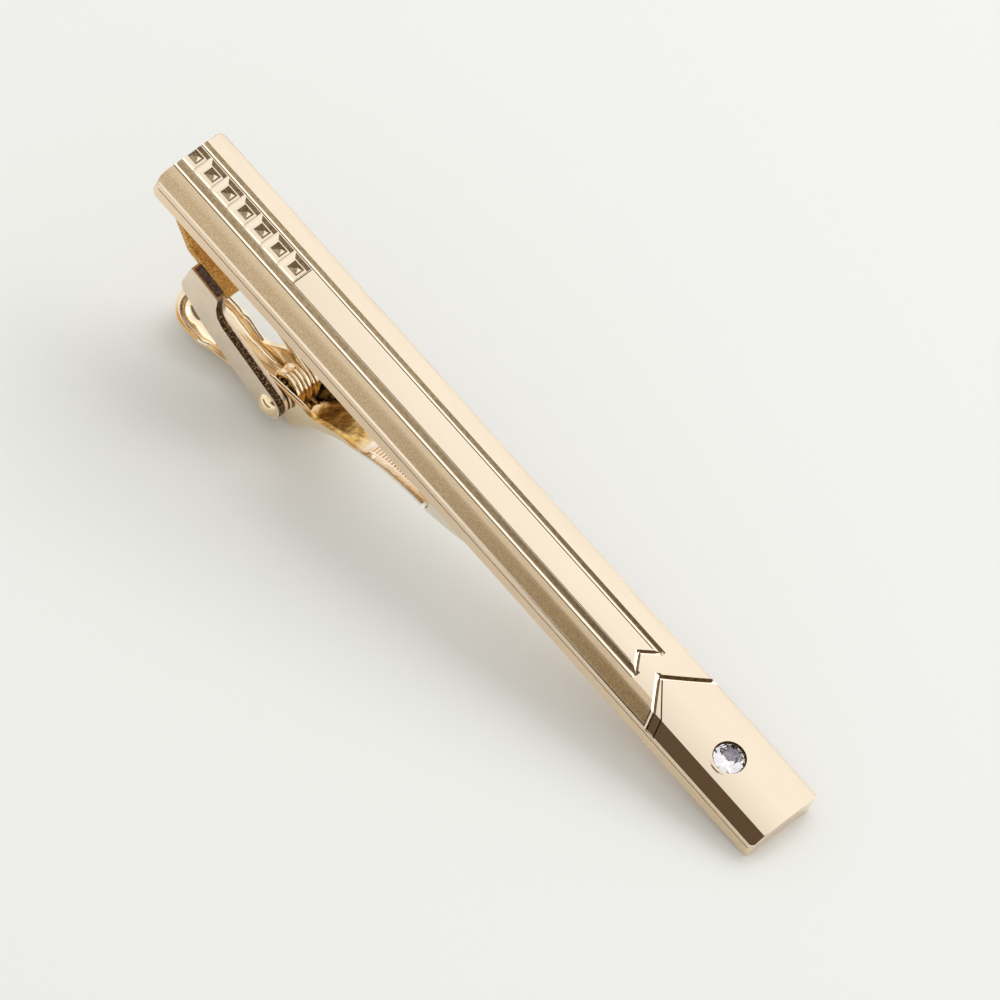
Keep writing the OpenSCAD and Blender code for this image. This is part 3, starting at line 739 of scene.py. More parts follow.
def stoneFinish():
    m, t, b = startFinish("clearStone", (0.96, 0.94, 0.98), 0.0, 0.0)
    b.inputs["Transmission Weight"].default_value = 1.0
    b.inputs["IOR"].default_value = 1.75
    tint = grain(t, 0.9)
    paint(t, b, blendColours(t, between(t, tint, 0.4, 0.6), (0.98, 0.97, 1.0), (0.9, 0.86, 0.93)))
    return m


def foilFinish():
    # the silvered back whose facets make the stone sparkle, painted in pale and dark cells as the stone's
    # reflections
    m, t, b = startFinish("stoneFoil", (0.85, 0.83, 0.86), 0.15, 0.2)
    cells = addNode(t, "ShaderNodeTexVoronoi", Scale=1 / (stoneSet["foilCell"] * mm))
    t.links.new(objectPlace(t), cells.inputs["Vector"])
    part = t.nodes.new("ShaderNodeSeparateColor")
    t.links.new(cells.outputs["Color"], part.inputs["Color"])
    glintCells = blendColours(t, between(t, part.outputs["Green"], 0.3, 0.7), (1.0, 0.98, 1.0), (0.74, 0.68, 0.78))
    paint(t, b, blendColours(t, between(t, part.outputs["Red"], 0.70, 0.78), glintCells, (0.16, 0.11, 0.12)))
    return m


def rimFinish():
    return lumpyGilt("seatRim", ("rim", "rimDark", "rimLight"), 0.5, (0.2,), 0.4, 0.6, 0.02)


def ringOfVerts(count, radius, z, turn=0.0):
    bpy.ops.mesh.primitive_circle_add(vertices=count, radius=radius, location=(0, 0, z),
                                      rotation=(0, 0, math.radians(turn)))
    applyPlace(bpy.context.object)
    return bpy.context.object


def makeStone():
    s = stoneSet
    r, top = s["across"] / 2, s["tableZ"]
    girdleTop = top - s["crownRise"]
    girdleLow = girdleTop - s["girdle"]
    (starWide, starDrop), (lowWide, lowDrop) = s["starShares"], s["lowerShares"]
    rings = [
        ringOfVerts(8, s["table"] / 2, top, 22.5),
        ringOfVerts(8, r * starWide, top - s["crownRise"] * starDrop),
        ringOfVerts(16, r, girdleTop, 11.25),
        ringOfVerts(16, r, girdleLow, 11.25),
        ringOfVerts(8, r * lowWide, girdleLow - s["pavilion"] * lowDrop),
        ringOfVerts(8, s["culet"], girdleLow - s["pavilion"], 22.5),
    ]
    stone = joinAll(rings)
    openMesh(stone)
    takeAll()
    bpy.ops.mesh.convex_hull()
    takeAll()
    bpy.ops.mesh.dissolve_limited(angle_limit=math.radians(1))
    faceOut()
    closeMesh()
    stone.location = (s["x"], 0, 0)
    applyPlace(stone)
    setPiece(stone, "facetedStone", [stoneFinish()], "clip_frame", ["crystal"], 3)


def makeFoilAndRim():
    s = stoneSet
    r = s["across"] / 2
    girdleLow = s["tableZ"] - s["crownRise"] - s["girdle"]
    tip = girdleLow - s["pavilion"] - s["foilGap"]
    bpy.ops.mesh.primitive_circle_add(vertices=16, radius=r * 1.005, location=(s["x"], 0, girdleLow - 0.02),
                                      rotation=(0, 0, math.radians(11.25)), fill_type="NGON")
    foil = bpy.context.object
    applyPlace(foil)
    openMesh(foil, "FACE")
    takeAll()
    bpy.ops.mesh.inset(thickness=r * s["foilInset"])
    bpy.ops.transform.translate(value=(0, 0, -s["pavilion"] * s["foilDrop"]))
    bpy.ops.mesh.merge(type="CENTER")
    closeMesh()
    low = min(foil.data.vertices, key=lambda v: v.co.z)
    low.co = (s["x"], 0, tip)
    setPiece(foil, "stoneFoil", [foilFinish()], "clip_frame", [], 3)

    bpy.ops.mesh.primitive_torus_add(major_segments=64, minor_segments=10, major_radius=s["rimRound"],
                                     minor_radius=s["rimWire"], location=(s["x"], 0, s["rimZ"]))
    rim = bpy.context.object
    applyPlace(rim)
    setPiece(rim, "seatRim", [rimFinish()], "clip_frame", [], 60)


makeStone()
makeFoilAndRim()
print("stone set")


# Mounting leg

legSet = {
    "footEndX": 8.18, "footLong": 5.6, "thick": 0.5, "wide": 4.0,
    "bendRadius": 0.73, "bendTurn": 138.0, "slopeLong": 2.48, "slopeDown": 42.0,
    "kneeRadius": 0.8, "seatLong": 3.85, "seatTilt": 7.0, "edgeRound": 0.06,
}


def makeLeg():
    # one edge is pulled straight and swung round the bends, then thickened
    s = legSet
    bpy.ops.mesh.primitive_plane_add(size=1)
    leg = bpy.context.object
    openMesh(leg, "EDGE")
    selectEdges(leg, lambda a, b: a.x < 0 and b.x < 0)
    bpy.ops.mesh.delete(type="VERT")
    closeMesh()
    for v in leg.data.vertices:
        v.co = (s["footEndX"], math.copysign(s["wide"] / 2, v.co.y), -s["thick"] / 2)
    openMesh(leg)
    takeAll()

    def pull(length, down=0.0):
        for _ in range(4):
            step = (math.cos(down) * length / 4, 0, -math.sin(down) * length / 4)
            bpy.ops.mesh.extrude_edges_move(TRANSFORM_OT_translate={"value": step})

    pull(-s["footLong"])
    bendAt = (s["footEndX"] - s["footLong"], 0, -s["thick"] / 2 - s["bendRadius"])
    bpy.ops.mesh.spin(steps=18, angle=math.radians(s["bendTurn"]), center=bendAt, axis=(0, 1, 0))
    down = math.radians(s["slopeDown"])
    pull(s["slopeLong"], down)
    closeMesh()
    end = [v.co.copy() for v in leg.data.vertices if v.select][0]
    reopenMesh(leg)
    kneeAt = (end.x + math.sin(down) * s["kneeRadius"], 0, end.z + math.cos(down) * s["kneeRadius"])
    tilt = math.radians(s["seatTilt"])
    bpy.ops.mesh.spin(steps=8, angle=down - tilt, center=kneeAt, axis=(0, 1, 0))
    pull(s["seatLong"], tilt)
    closeMesh()
    useModifier(leg, "SOLIDIFY", thickness=s["thick"], offset=0)
    softEdges(leg, s["edgeRound"], 2, 60)
    setPiece(leg, "foldedLeg", [finishes["raw"]], "clip_frame", ["mounting_leg"])


makeLeg()


# Yoke

yokeSet = {
    "webRear": (5.106, -3.723), "webLong": 2.8, "tilt": 7.0, "sheet": 0.85, "wide": 5.2,
    "heel": (5.894, -5.905), "elbow": (8.393, -6.952), "neck": (8.099, -5.101),
    "nook": (8.419, -5.721), "shoulderTurn": 52.0,
    "heelRound": 0.95, "elbowRound": 1.05, "bossRound": 1.1, "edgeRound": 0.07,
    "tornY": (2.15, 2.21), "tornZ": (-3.9, -4.3),  # where the punched edges are torn
}


def onCircle(c, r, turn):
    return (c[0] + r * math.cos(turn), c[1] + r * math.sin(turn))


def tangentPoint(a, ra, b, rb, side, atB):
    # where the outer tangent of two circles touches the first or the second
    turn = math.atan2(b[1] - a[1], b[0] - a[0]) + side * math.acos((ra - rb) / math.dist(a, b))
    return onCircle(b, rb, turn) if atB else onCircle(a, ra, turn)


def arcPoints(c, r, p, q, steps):
    # clockwise from p's direction to q's
    a = math.atan2(p[1] - c[1], p[0] - c[0])
    b = math.atan2(q[1] - c[1], q[0] - c[0])
    if b > a:
        b -= 2 * math.pi
    return [onCircle(c, r, a + (b - a) * i / steps) for i in range(steps + 1)]


def earOutline():
    s = yokeSet
    heel, elbow = s["heel"], s["elbow"]
    rh, re, rp = s["heelRound"], s["elbowRound"], s["bossRound"]
    tilt = math.radians(s["tilt"])
    rear = s["webRear"]
    front = (rear[0] + s["webLong"] * math.cos(tilt), rear[1] - s["webLong"] * math.sin(tilt))
    topPin = tangentPoint(elbow, re, pivot, rp, 1, True)
    lowPin = tangentPoint(elbow, re, pivot, rp, -1, True)
    elbowFront = tangentPoint(elbow, re, pivot, rp, -1, False)
    elbowRear = tangentPoint(heel, rh, elbow, re, -1, True)
    lowHeel = tangentPoint(heel, rh, elbow, re, -1, False)
    outline = [rear, front, s["neck"], s["nook"], onCircle(elbow, re, math.radians(s["shoulderTurn"]))]
    outline += arcPoints(pivot, rp, topPin, lowPin, 22)
    outline += arcPoints(elbow, re, elbowFront, elbowRear, 5)
    return outline + arcPoints(heel, rh, lowHeel, (heel[0] - rh, heel[1]), 10)


def makeYoke():
    s = yokeSet
    outline = earOutline()
    ears = []
    for side in (1, -1):
        bpy.ops.mesh.primitive_circle_add(vertices=len(outline), fill_type="NGON")
        ear = bpy.context.object
        for v, p in zip(ear.data.vertices, outline):
            v.co = (p[0], side * s["wide"] / 2, p[1])
        openMesh(ear, "FACE")
        takeAll()
        bpy.ops.mesh.extrude_region_move(TRANSFORM_OT_translate={"value": (0, -side * s["sheet"], 0)})
        faceOut()
        closeMesh()
        ears.append(ear)
    tilt = math.radians(s["tilt"])
    x, z = s["webRear"]
    half, deep = s["webLong"] / 2, s["sheet"] / 2
    bpy.ops.mesh.primitive_cube_add(size=1)
    web = bpy.context.object
    web.dimensions = (s["webLong"], s["wide"] - 0.02, s["sheet"])
    applyPlace(web)
    web.rotation_euler = (0, tilt, 0)
    web.location = (x + math.cos(tilt) * half - math.sin(tilt) * deep, 0,
                    z - math.sin(tilt) * half - math.cos(tilt) * deep)
    applyPlace(web)
    yoke, farEar = ears
    cutAway(yoke, farEar, "UNION")
    cutAway(yoke, web, "UNION")
    softEdges(yoke, s["edgeRound"], 3, 35)
    for f in yoke.data.polygons:
        f.material_index = 1 if abs(f.normal.y) < 0.5 else 0
    setPiece(yoke, "earYoke", [finishes["satin"], tornFinish()], "clip_frame", ["yoke"])


def tornFinish():
    # the punched edges: burnished towards the inside, torn and dark towards the outside
    satin = goldTones["satin"]
    m, t, b = startFinish("tornGilt", satin, 0.34)
    x, y, z = xyz(t)
    lumps = grain(t, 0.13, (1, 1, 1), 4, 0.7)
    ragged = sums(t, "ADD", sums(t, "ABSOLUTE", y, 0), times(t, lumps, 0.3 * mm))
    torn = times(t, between(t, ragged, *span(yokeSet["tornY"])), between(t, z, *span(yokeSet["tornZ"])))
    dark = blendColours(t, between(t, lumps, 0.5, 0.72), goldTones["torn"], goldTones["tornLight"])
    paint(t, b, blendColours(t, torn, satin, dark))
    addBump(t, b, times(t, torn, lumps), 0.04)
    return m


makeYoke()


# Solder and braze

filletSet = {
    "seed": 7.3, "seatY": 1.98, "sink": 0.02,
    "brazeSpan": (0.17, 2.6), "brazeWide": 0.5, "brazeHigh": 0.42, "brazeRough": (0.035, 0.12),
    "solderWide": 0.33, "solderDeep": 0.32, "solderEndY": 2.2, "solderZ": -0.01, "solderRough": (0.03, 0.2),
}


def roughen(obj, amount, size, seed):
    me = obj.data
    for v in me.vertices:
        v.co += v.normal * amount * noise.noise(v.co / size + Vector((seed, seed, seed)))
    me.update()


def filletStrip(a, b, out, up):
    # a wedge from a to b, whose section is a triangle with one side out and one side up
    bpy.ops.mesh.primitive_cylinder_add(vertices=3, radius=1, depth=1, rotation=(0, math.pi / 2, 0))
    w = bpy.context.object
    applyPlace(w)
    a, b, out, up = Vector(a), Vector(b), Vector(out), Vector(up)
    spots = {}
    for v in w.data.vertices:
        spots.setdefault((round(v.co.y, 2), round(v.co.z, 2)), []).append(v)
    for k, shift in zip(sorted(spots), (Vector((0, 0, 0)), out, up)):
        for v in spots[k]:
            v.co = (a if v.co.x < 0 else b) + shift
    openMesh(w)
    takeAll()
    bpy.ops.mesh.subdivide(number_cuts=5)
    faceOut()
    closeMesh()
    useModifier(w, "SUBSURF", levels=1, render_levels=1, subdivision_type="SIMPLE")
    return w


def makeFillets():
    s, leg = filletSet, legSet
    tilt = math.radians(yokeSet["tilt"])
    along, down = Vector((math.cos(tilt), 0, -math.sin(tilt))), Vector((-math.sin(tilt), 0, -math.cos(tilt)))
    rear = Vector((yokeSet["webRear"][0], 0, yokeSet["webRear"][1]))
    strips = []
    for side in (1, -1):
        corner = rear + Vector((0, side * s["seatY"], 0)) + down * s["sink"]
        a, b = (corner + along * v for v in s["brazeSpan"])
        strips.append(filletStrip(a, b, (0, side * s["brazeWide"], 0), -down * s["brazeHigh"]))
    braze = joinAll(strips)
    roughen(braze, *s["brazeRough"], s["seed"])
    setPiece(braze, "brazeStrips", [finishes["braze"]], "clip_frame", ["yoke_braze"], 60)

    x1, z, y = leg["footEndX"], s["solderZ"], s["solderEndY"]
    x0, drop = x1 - leg["footLong"], (0, 0, -s["solderDeep"])
    strips = []
    for side in (1, -1):
        seat = side * s["seatY"]
        strips.append(filletStrip((x0, seat, z), (x1, seat, z), (0, side * s["solderWide"], 0), drop))
    strips.append(filletStrip((x1, -y, z), (x1, y, z), (s["solderDeep"], 0, 0), drop))
    solder = joinAll(strips)
    roughen(solder, *s["solderRough"], s["seed"] + 3)
    setPiece(solder, "footSolder", [finishes["raw"]], "clip_frame", ["foot_solder"], 60)


makeFillets()
print("leg, yoke and fillets made")


# Rivet

rivetSet = {
    "half": 2.6, "shank": 0.45, "headRound": 0.86, "headRise": 0.55, "peenRound": 0.7, "peenRise": 0.35,
}


def domeEdge(r, h, steps):
    big = (r * r + h * h) / (2 * h)
    half = math.asin(r / big)
    return [(big * math.sin(half * (1 - i / steps)), h - big + big * math.cos(half * (1 - i / steps)))
            for i in range(steps + 1)]


def makeRivet():
    # the outline is drawn point by point and spun round the pivot
    s = rivetSet
    near = [(r, -s["half"] - h) for r, h in domeEdge(s["headRound"], s["headRise"], 14)]
    far = [(r, s["half"] + h) for r, h in domeEdge(s["peenRound"], s["peenRise"], 10)]
    outline = near[::-1] + [(s["shank"], -s["half"]), (s["shank"], s["half"])] + far
    px, pz = pivot
    bpy.ops.mesh.primitive_plane_add(size=1)
    rivet = bpy.context.object
    openMesh(rivet)
    takeAll()
    bpy.ops.mesh.merge(type="CENTER")
    closeMesh()
    rivet.data.vertices[0].co = (px + outline[0][0], outline[0][1], pz)
    openMesh(rivet)
    takeAll()
    for p, q in zip(outline, outline[1:]):
        bpy.ops.mesh.extrude_vertices_move(TRANSFORM_OT_translate={"value": (q[0] - p[0], q[1] - p[1], 0)})
    takeAll()
    bpy.ops.mesh.spin(steps=48, angle=math.radians(360), center=(px, 0, pz), axis=(0, 1, 0))
    takeAll()
    bpy.ops.mesh.remove_doubles(threshold=0.002)
    faceOut()
    closeMesh()
    setPiece(rivet, "domedRivet", [finishes["rivet"]], "clip_frame", ["pivot_rivet"], 40)


makeRivet()


# Lever

leverSet = {
    "sheet": 0.4, "padX": -8.3, "tipX": 17.5, "sectionSteps": 24, "edgeRound": 0.06,
    "holeRound": 0.5, "holeLong": 6.0, "notchAt": (13.2, 2.5, 6.6), "notchSize": (0.3, 0.64, 2.0),
    "lipFrom": 13.5, "lipY": 2.3, "lipSink": 0.2, "lipRound": 0.04, "lipSteps": 8, "tipUnder": 7.59,
    "tipHalf": 2.5, "toothDeep": 0.35, "backGap": 0.05,
    "ridgeFrom": 7.92, "ridgeTo": 12.08, "ridgePitch": 0.26, "ridgeDeep": 0.07,
    "ridgeFadeIn": (7.85, 7.95), "ridgeFadeOut": (12.05, 11.95), "ridgeRelief": 12.0, "wave": 3.0,
    "jawFade": (6.4, 7.4), "throatX": (1.9, 7.4), "throatFadeIn": (1.9, 2.5), "throatFadeOut": (7.4, 6.6),
    # x from the pin: half width, rim, underside, roundness of the section
    "stations": [
        (-8.3, 2.1, -2.5, -3.9, 0.95),
        (-7.0, 2.1, -2.4, -3.6, 0.92),
        (-6.1, 1.95, -2.1, -3.4, 0.88),
        (-4.3, 1.65, -1.95, -3.0, 0.75),
        (-2.6, 1.65, -0.3, -2.6, 0.5),
        (-1.4, 1.65, 0.85, -2.3, 0.28),
        (-0.5, 1.65, 1.05, -2.15, 0.28),
        (0.0, 1.65, 1.15, -2.07, 0.28),
        (1.6, 1.65, 1.45, -1.8, 0.3),
        (2.7, 1.70, 1.65, -0.4, 0.45),
        (4.28, 2.03, 3.03, 1.52, 0.55),
        (5.9, 2.4, 4.5, 3.6, 0.45),
        (6.9, 2.5, 4.91, 4.45, 0.3),
        (9.7, 2.5, 6.16, 5.7, 0.3),
        (12.8, 2.5, 6.76, 6.3, 0.3),
        (13.5, 2.5, 6.83, 6.37, 0.3),
        (15.35, 2.5, 7.3, 6.84, 0.3),
        (17.5, 2.5, 8.05, 7.59, 0.3),
    ],
}


def along(x, column):
    # a smooth curve through the stations that never overshoots them
    st = leverSet["stations"]
    xs = [p[0] for p in st]
    vs = [p[column] for p in st]
    last = len(xs) - 1
    if x <= xs[0]:
        return vs[0]
    if x >= xs[last]:
        return vs[last]
    i = max(k for k in range(last) if xs[k] <= x)
    steps = [(vs[k + 1] - vs[k]) / (xs[k + 1] - xs[k]) for k in range(last)]

    def slope(k):
        if k in (0, last):
            return steps[0 if k == 0 else -1]
        a, b = steps[k - 1], steps[k]
        return 0 if a * b <= 0 else 2 * a * b / (a + b)

    h = xs[i + 1] - xs[i]
    t = (x - xs[i]) / h
    m0, m1 = slope(i) * h, slope(i + 1) * h
    return ((2 * t ** 3 - 3 * t * t + 1) * vs[i] + (t ** 3 - 2 * t * t + t) * m0
            + (3 * t * t - 2 * t ** 3) * vs[i + 1] + (t ** 3 - t * t) * m1)


def leverSection(x):
    # outer trough from rim to rim at one station, then the inner trough back again
    s = leverSet
    half, rim, under, power = (along(x, k) for k in (1, 2, 3, 4))
    steps, sheet = s["sectionSteps"], s["sheet"]
    ridge = 0
    if s["ridgeFrom"] < x < s["ridgeTo"]:
        ridge = s["ridgeDeep"] * abs(math.sin(math.pi * (x - s["ridgeFrom"]) / s["ridgePitch"]))
    outer, inner = [], []
    for j in range(steps + 1):
        a = math.pi * j / steps
        c = -math.copysign(abs(math.cos(a)) ** power, math.cos(a))
        d = max(0, math.sin(a)) ** power
        outer.append((half * c, rim - (rim - under) * d))
        inner.append(((half - sheet) * c, rim - (rim - under - sheet) * d - (ridge if d > 0.9 else 0)))
    return outer + inner[::-1]


def leverRows():
    # each row is a place along the lever and how far the pad's round end has turned there
    s = leverSet
    rows = [(s["padX"], 90 - 9 * i) for i in range(10)]
    stops = [(s["padX"], 6.9, 90), (6.9, s["ridgeFrom"], 4), (s["ridgeFrom"], s["ridgeTo"], 96),
             (s["ridgeTo"], s["tipX"], 20)]
    for a, b, n in stops:
        rows += [(a + (b - a) * i / n, 0) for i in range(n)]
    return rows + [(s["tipX"], 0)]


def leverBlank():
    # a tube of sections, flattened into a trough with the thickness of the sheet
    s = leverSet
    px, pz = pivot
    rows = leverRows()
    columns = 2 * (s["sectionSteps"] + 1)
    bpy.ops.mesh.primitive_grid_add(x_subdivisions=len(rows) - 1, y_subdivisions=columns, size=1)
    lever = bpy.context.object
    sections = [leverSection(x) for x, _ in rows]
    for v in lever.data.vertices:
        row = round((v.co.x + 0.5) * (len(rows) - 1))
        y, z = sections[row][round((v.co.y + 0.5) * columns) % columns]
        x, turned = rows[row][0], math.radians(rows[row][1])
        v.co = (px + x - abs(y) * math.sin(turned), y * math.cos(turned), pz + z)
    openMesh(lever)
    takeAll()
    bpy.ops.mesh.remove_doubles(threshold=0.001)
    bpy.ops.mesh.select_all(action="DESELECT")
    bpy.ops.mesh.select_non_manifold()
    bpy.ops.mesh.edge_face_add()
    faceOut()
    closeMesh()
    bpy.ops.mesh.primitive_cylinder_add(vertices=40, radius=s["holeRound"], depth=s["holeLong"],
                                        location=(px, 0, pz), rotation=(math.pi / 2, 0, 0))
    cutAway(lever, bpy.context.object)
    x, y, z = s["notchAt"]
    for side in (1, -1):
        bpy.ops.mesh.primitive_cube_add(size=1, location=(px + x, side * y, pz + z))
        notch = bpy.context.object
        notch.dimensions = s["notchSize"]
        applyPlace(notch)
        cutAway(lever, notch)
    softEdges(lever, s["edgeRound"], 2, 60)
    return lever


def toothedLip(place):
    # an upright strip; place gives x, y and the lower edge at a share of its length
    s = leverSet
    steps = s["lipSteps"]
    bpy.ops.mesh.primitive_grid_add(x_subdivisions=steps, y_subdivisions=1, size=1)
    lip = bpy.context.object
    for v in lip.data.vertices:
        i = round((v.co.x + 0.5) * steps)
        x, y, low = place(i / steps)
        top = -s["backGap"] - (s["toothDeep"] if i % 2 else 0)
        v.co = (pivot[0] + x, y, top if v.co.y > 0 else pivot[1] + low + s["lipSink"])
    useModifier(lip, "SOLIDIFY", thickness=s["sheet"], offset=0)
    softEdges(lip, s["lipRound"], 2, 40)
    return lip


def makeLever():
    s = leverSet
    px = pivot[0]
    lever = leverBlank()
    print("lever blank formed")
    first, last = s["lipFrom"], s["tipX"]

    def sideLip(side):
        def place(share):
            x = first + (last - first) * share
            return x, side * s["lipY"], along(x, 3)
        return toothedLip(place)

    lips = [sideLip(1), sideLip(-1)]
    half, inset = s["tipHalf"], s["sheet"] / 2
    lips.append(toothedLip(lambda share: (last - inset, -half + 2 * half * share, s["tipUnder"])))
    lever = joinAll([lever] + lips)
    x0, x1 = s["throatX"]
    for f in lever.data.polygons:
        (x, y, z), n = f.center, f.normal
        # the throat's upward faces inside the trough take painted shade
        inThroat = x0 < x - px < x1 and abs(y) < along(x - px, 1) - 0.1 and n.z > 0.15
        f.material_index = 1 if inThroat else 0
    tones = [leverFinish(), throatShadeFinish()]
    setPiece(lever, "springLever", tones, "lever_body", ["lever"], 40)


def fadeAlong(tree, x, pair):
    return between(tree, x, *barSpan([pivot[0] + v for v in pair]))


def leverFinish():
    # bright all over, with fine ridges across the jaw
    s = leverSet
    m, t, b = startFinish("leverGilt", goldTones["lever"], 0.14)
    x, y, z = xyz(t)
    ridged = times(t, fadeAlong(t, x, s["ridgeFadeIn"]), fadeAlong(t, x, s["ridgeFadeOut"]))
    wave = addNode(t, "ShaderNodeTexWave", Scale=1 / (s["wave"] * mm), Distortion=0.6)
    t.links.new(objectPlace(t), wave.inputs["Vector"])
    wear = grain(t, 0.12, (0.06, 1, 1), 4)
    paint(t, b, blendColours(t, fadeAlong(t, x, s["jawFade"]), goldTones["lever"], goldTones["jaw"]))
    ridges = times(t, times(t, ridged, wave.outputs["Fac"]), s["ridgeRelief"])
    addBump(t, b, sums(t, "ADD", ridges, wear), 0.0012)
    return m


def throatShadeFinish():
    # painted shade: deep gold with soft streaks of painted highlight
    s = leverSet
    m, t, b = startFinish("throatShadeGilt", goldTones["deep"], 0.3)
    x, y, z = xyz(t)
    # the painted shade fades out at both ends of the throat
    raw = times(t, fadeAlong(t, x, s["throatFadeIn"]), fadeAlong(t, x, s["throatFadeOut"]))
    streaks = grain(t, 0.5, (0.4, 1, 1), 4, 0.6)
    deep = blendColours(t, between(t, streaks, 0.38, 0.62), goldTones["deep"], goldTones["throatGlint"])
    paint(t, b, blendColours(t, raw, goldTones["lever"], deep))
    addBump(t, b, streaks, 0.03)
    return m


makeLever()
print("lever made")


# Spring

springSet = {
    "radius": 1.15, "wire": 0.68, "half": 0.84, "turns": 2,
    "partTurn": 151.0, "webEnd": (-7.86, 3.45), "padEnd": (-6.225, -2.70), "padY": -0.41,
}


def makeSpring():
    # a straight leg under the web, the coil, and a straight leg to the pad
    s = springSet
    px, pz = pivot
    r, half = s["radius"], s["half"]
    wx, wz = s["webEnd"]
    start = math.degrees(math.atan2(wz, wx)) - math.degrees(math.acos(r / math.hypot(wx, wz)))
    total = 360 * s["turns"] + s["partTurn"]
    steps = 32 * (s["turns"] + 1)
    coil = []
    for i in range(steps + 1):
        a = math.radians(start - total * i / steps)
        coil.append(Vector((r * math.cos(a), half - 2 * half * i / steps, r * math.sin(a))))
    pad = Vector((s["padEnd"][0], s["padY"], s["padEnd"][1]))
    path = [Vector((wx, half, wz)).lerp(coil[0], i / 10) for i in range(10)] + coil
    path += [coil[-1].lerp(pad, i / 12) for i in range(1, 13)]
    curve = bpy.data.curves.new("springWire", "CURVE")
    curve.dimensions = "3D"
    line = curve.splines.new("POLY")
    line.points.add(len(path) - 1)
    for p, v in zip(line.points, path):
        p.co = (v.x + px, v.y, v.z + pz, 1)
    curve.bevel_depth = s["wire"] / 2
    curve.bevel_resolution = 5
    curve.use_fill_caps = True
    wire = bpy.data.objects.new("pivotSpring", curve)
    bpy.context.collection.objects.link(wire)
    pickOnly(wire)
    bpy.ops.object.convert(target="MESH")
    return setPiece(bpy.context.object, "pivotSpring", [finishes["wire"]], None, ["torsion_spring"],
                    50)


spring = makeSpring()
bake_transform(spring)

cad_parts["crystal_cement"].data.materials.clear()
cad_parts["crystal_cement"].data.materials.append(rimFinish())
print("spring and cement made")


# Floor, world and lamps

studio = {
    "paper": (0.842, 0.839, 0.835),
    "restPoints": ((16.2, -10.45), (60.0, 0.0)),  # belly of the lever and the stone end of the bar
    "backdrop": (0.871, 0.879, 0.839),
    "mirrored": (1.03, 1.02, 1.0),  # what polished faces see
    "lit": 0.78 / 0.87,  # strength of the room's own light
    "cardTone": (0.112, 0.078, 0.05),
    "ceiling": ((-110.0, -75.0, 62.0), (190.0, 72.0, 62.0)),
    "cardFadeX": (13.0, 34.0), "cardFadeY": (33.0, -10.0),
    "hazeX": (34.0, -14.0), "hazeY": (40.0, 30.0), "haze": 0.14,
    "padFadeX": (62.0, 54.0), "padStepX": (-14.0, -19.0), "padStepY": (46.5, 41.5), "padSoft": 1.5,
    "sill": ((-80.0, -70.0, -6.0), (60.0, -70.0, 16.0)), "sillFadeZ": (16.0, 8.0),
    # place in metres, size, brightness, seen in mirrors, lights the matt faces
    "lamps": {
        "overheadSoftbox": ((-0.06, 0.34, 0.42), (0.5, 0.4), 1.5, False, True),
        "lowWindow": ((-0.08, 0.55, 0.16), (0.7, 0.2), 0.22, True, False),
        "rightSoftbox": ((0.19, 0.58, 0.31), (0.26, 0.22), 0.6, True, False),
    },
}


def makeFloor():
    (x0, z0), (x1, z1) = studio["restPoints"]
    tilt = math.atan2(z1 - z0, x1 - x0)
    bpy.ops.mesh.primitive_plane_add(size=6)
    floor = bpy.context.object
    floor.name = "paperFloor"
    floor.rotation_euler = (0, -tilt, 0)
    floor.location = ((x0 - gripX) * mm, 0, z0 * mm)
    applyPlace(floor)
    m, t, b = startFinish("paper", studio["paper"], 0.9, 0.0)
    b.inputs["Specular IOR Level"].default_value = 0.1
    geo = t.nodes.new("ShaderNodeNewGeometry")
    path = t.nodes.new("ShaderNodeLightPath")
    clear = t.nodes.new("ShaderNodeBsdfTransparent")
    fromBelow = times(t, geo.outputs["Backfacing"], path.outputs["Is Camera Ray"])
    t.links.new(mixShaders(t, fromBelow, b.outputs[0], clear.outputs[0]),
                t.nodes["Material Output"].inputs["Surface"])
    floor.data.materials.append(m)


def addCard(name, low, high, cover):
    # a dark card that only reflections see, and that the stone does not show from inside
    bpy.ops.mesh.primitive_plane_add(size=1)
    card = bpy.context.object
    card.name = name
    for v in card.data.vertices:
        x, y, z = (b if side > 0 else a for a, b, side in zip(low, high, (v.co.x, v.co.y, v.co.y)))
        v.co = ((x - gripX) * mm, y * mm, z * mm)
    m = bpy.data.materials.new(name)
    m.use_nodes = True
    t = m.node_tree
    t.nodes.clear()
    path = t.nodes.new("ShaderNodeLightPath")
    outside = between(t, path.outputs["Transmission Depth"], 0.6, 0.4)
    seen = times(t, times(t, cover(t), outside), path.outputs["Is Glossy Ray"])
    clear = t.nodes.new("ShaderNodeBsdfTransparent")
    glow = addNode(t, "ShaderNodeEmission", Color=(*studio["cardTone"], 1))
    out = t.nodes.new("ShaderNodeOutputMaterial")
    t.links.new(mixShaders(t, seen, clear.outputs[0], glow.outputs[0]), out.inputs["Surface"])
    card.data.materials.append(m)


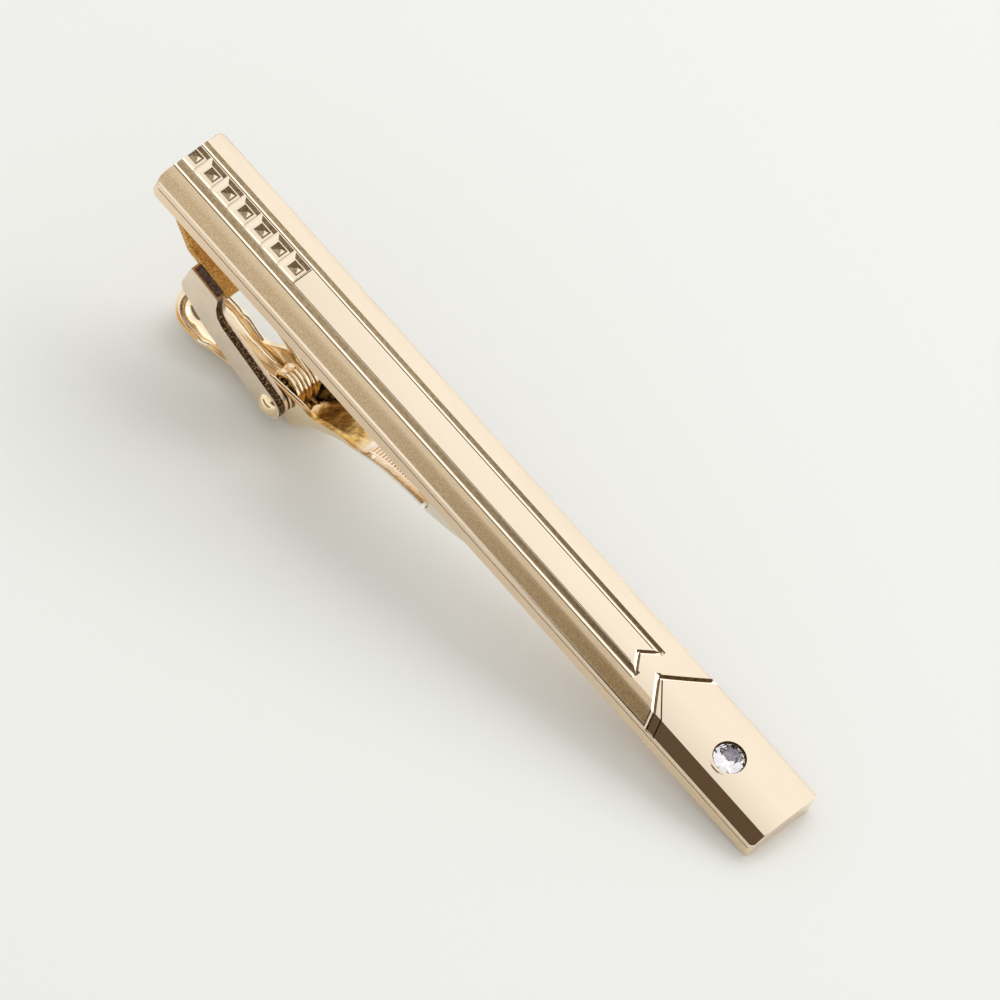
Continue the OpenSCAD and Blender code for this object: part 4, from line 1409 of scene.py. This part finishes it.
def ceilingCover(t):
    # dark over the stone end, a faint haze over the plain end, dark again beyond the thumb pad
    s = studio
    x, y, z = xyz(t)
    fade = times(t, between(t, x, *barSpan(s["cardFadeX"])), between(t, y, *span(s["cardFadeY"])))
    haze = times(t, between(t, x, *barSpan(s["hazeX"]), 0, s["haze"]), between(t, y, *span(s["hazeY"])))
    step = between(t, x, *barSpan(s["padStepX"]), *span(s["padStepY"]))
    beyond = times(t, between(t, x, *barSpan(s["padFadeX"])),
                   between(t, sums(t, "SUBTRACT", y, step), 0, s["padSoft"] * mm))
    return sums(t, "MAXIMUM", sums(t, "MAXIMUM", fade, haze), beyond)


def sillCover(t):
    # fades out at its upper edge
    x, y, z = xyz(t)
    return between(t, z, *span(studio["sillFadeZ"]))


def makeWorld():
    s = studio
    w = bpy.data.worlds.new("studioWorld")
    bpy.context.scene.world = w
    w.use_nodes = True
    t = w.node_tree
    t.nodes.clear()
    out = t.nodes.new("ShaderNodeOutputWorld")
    path = t.nodes.new("ShaderNodeLightPath")

    def room(tone, strength=1.0):
        return addNode(t, "ShaderNodeBackground", Color=(*s[tone], 1), Strength=strength).outputs[0]

    shiny = sums(t, "MAXIMUM", path.outputs["Is Glossy Ray"], path.outputs["Is Transmission Ray"])
    unseen = mixShaders(t, shiny, room("backdrop", s["lit"]), room("mirrored"))
    t.links.new(mixShaders(t, path.outputs["Is Camera Ray"], unseen, room("backdrop")),
                out.inputs["Surface"])


def addLamp(name, spot, size, glow, mirrored, lights):
    # glow is the lamp's own brightness, against 1 for the white room
    bpy.ops.object.light_add(type="AREA", location=spot)
    lamp = bpy.context.object
    lamp.name = name
    lamp.data.shape = "RECTANGLE"
    lamp.data.size, lamp.data.size_y = size
    lamp.data.energy = glow * 4 * size[0] * size[1]
    lamp.rotation_euler = (-Vector(spot)).to_track_quat("-Z", "Y").to_euler()
    lamp.visible_glossy = mirrored
    lamp.visible_diffuse = lights


makeFloor()
addCard("ceilingCard", *studio["ceiling"], ceilingCover)
addCard("sillCard", *studio["sill"], sillCover)
makeWorld()
for lampName, values in studio["lamps"].items():
    addLamp(lampName, *values)
bpy.context.scene.view_settings.view_transform = "Standard"
print("studio set")
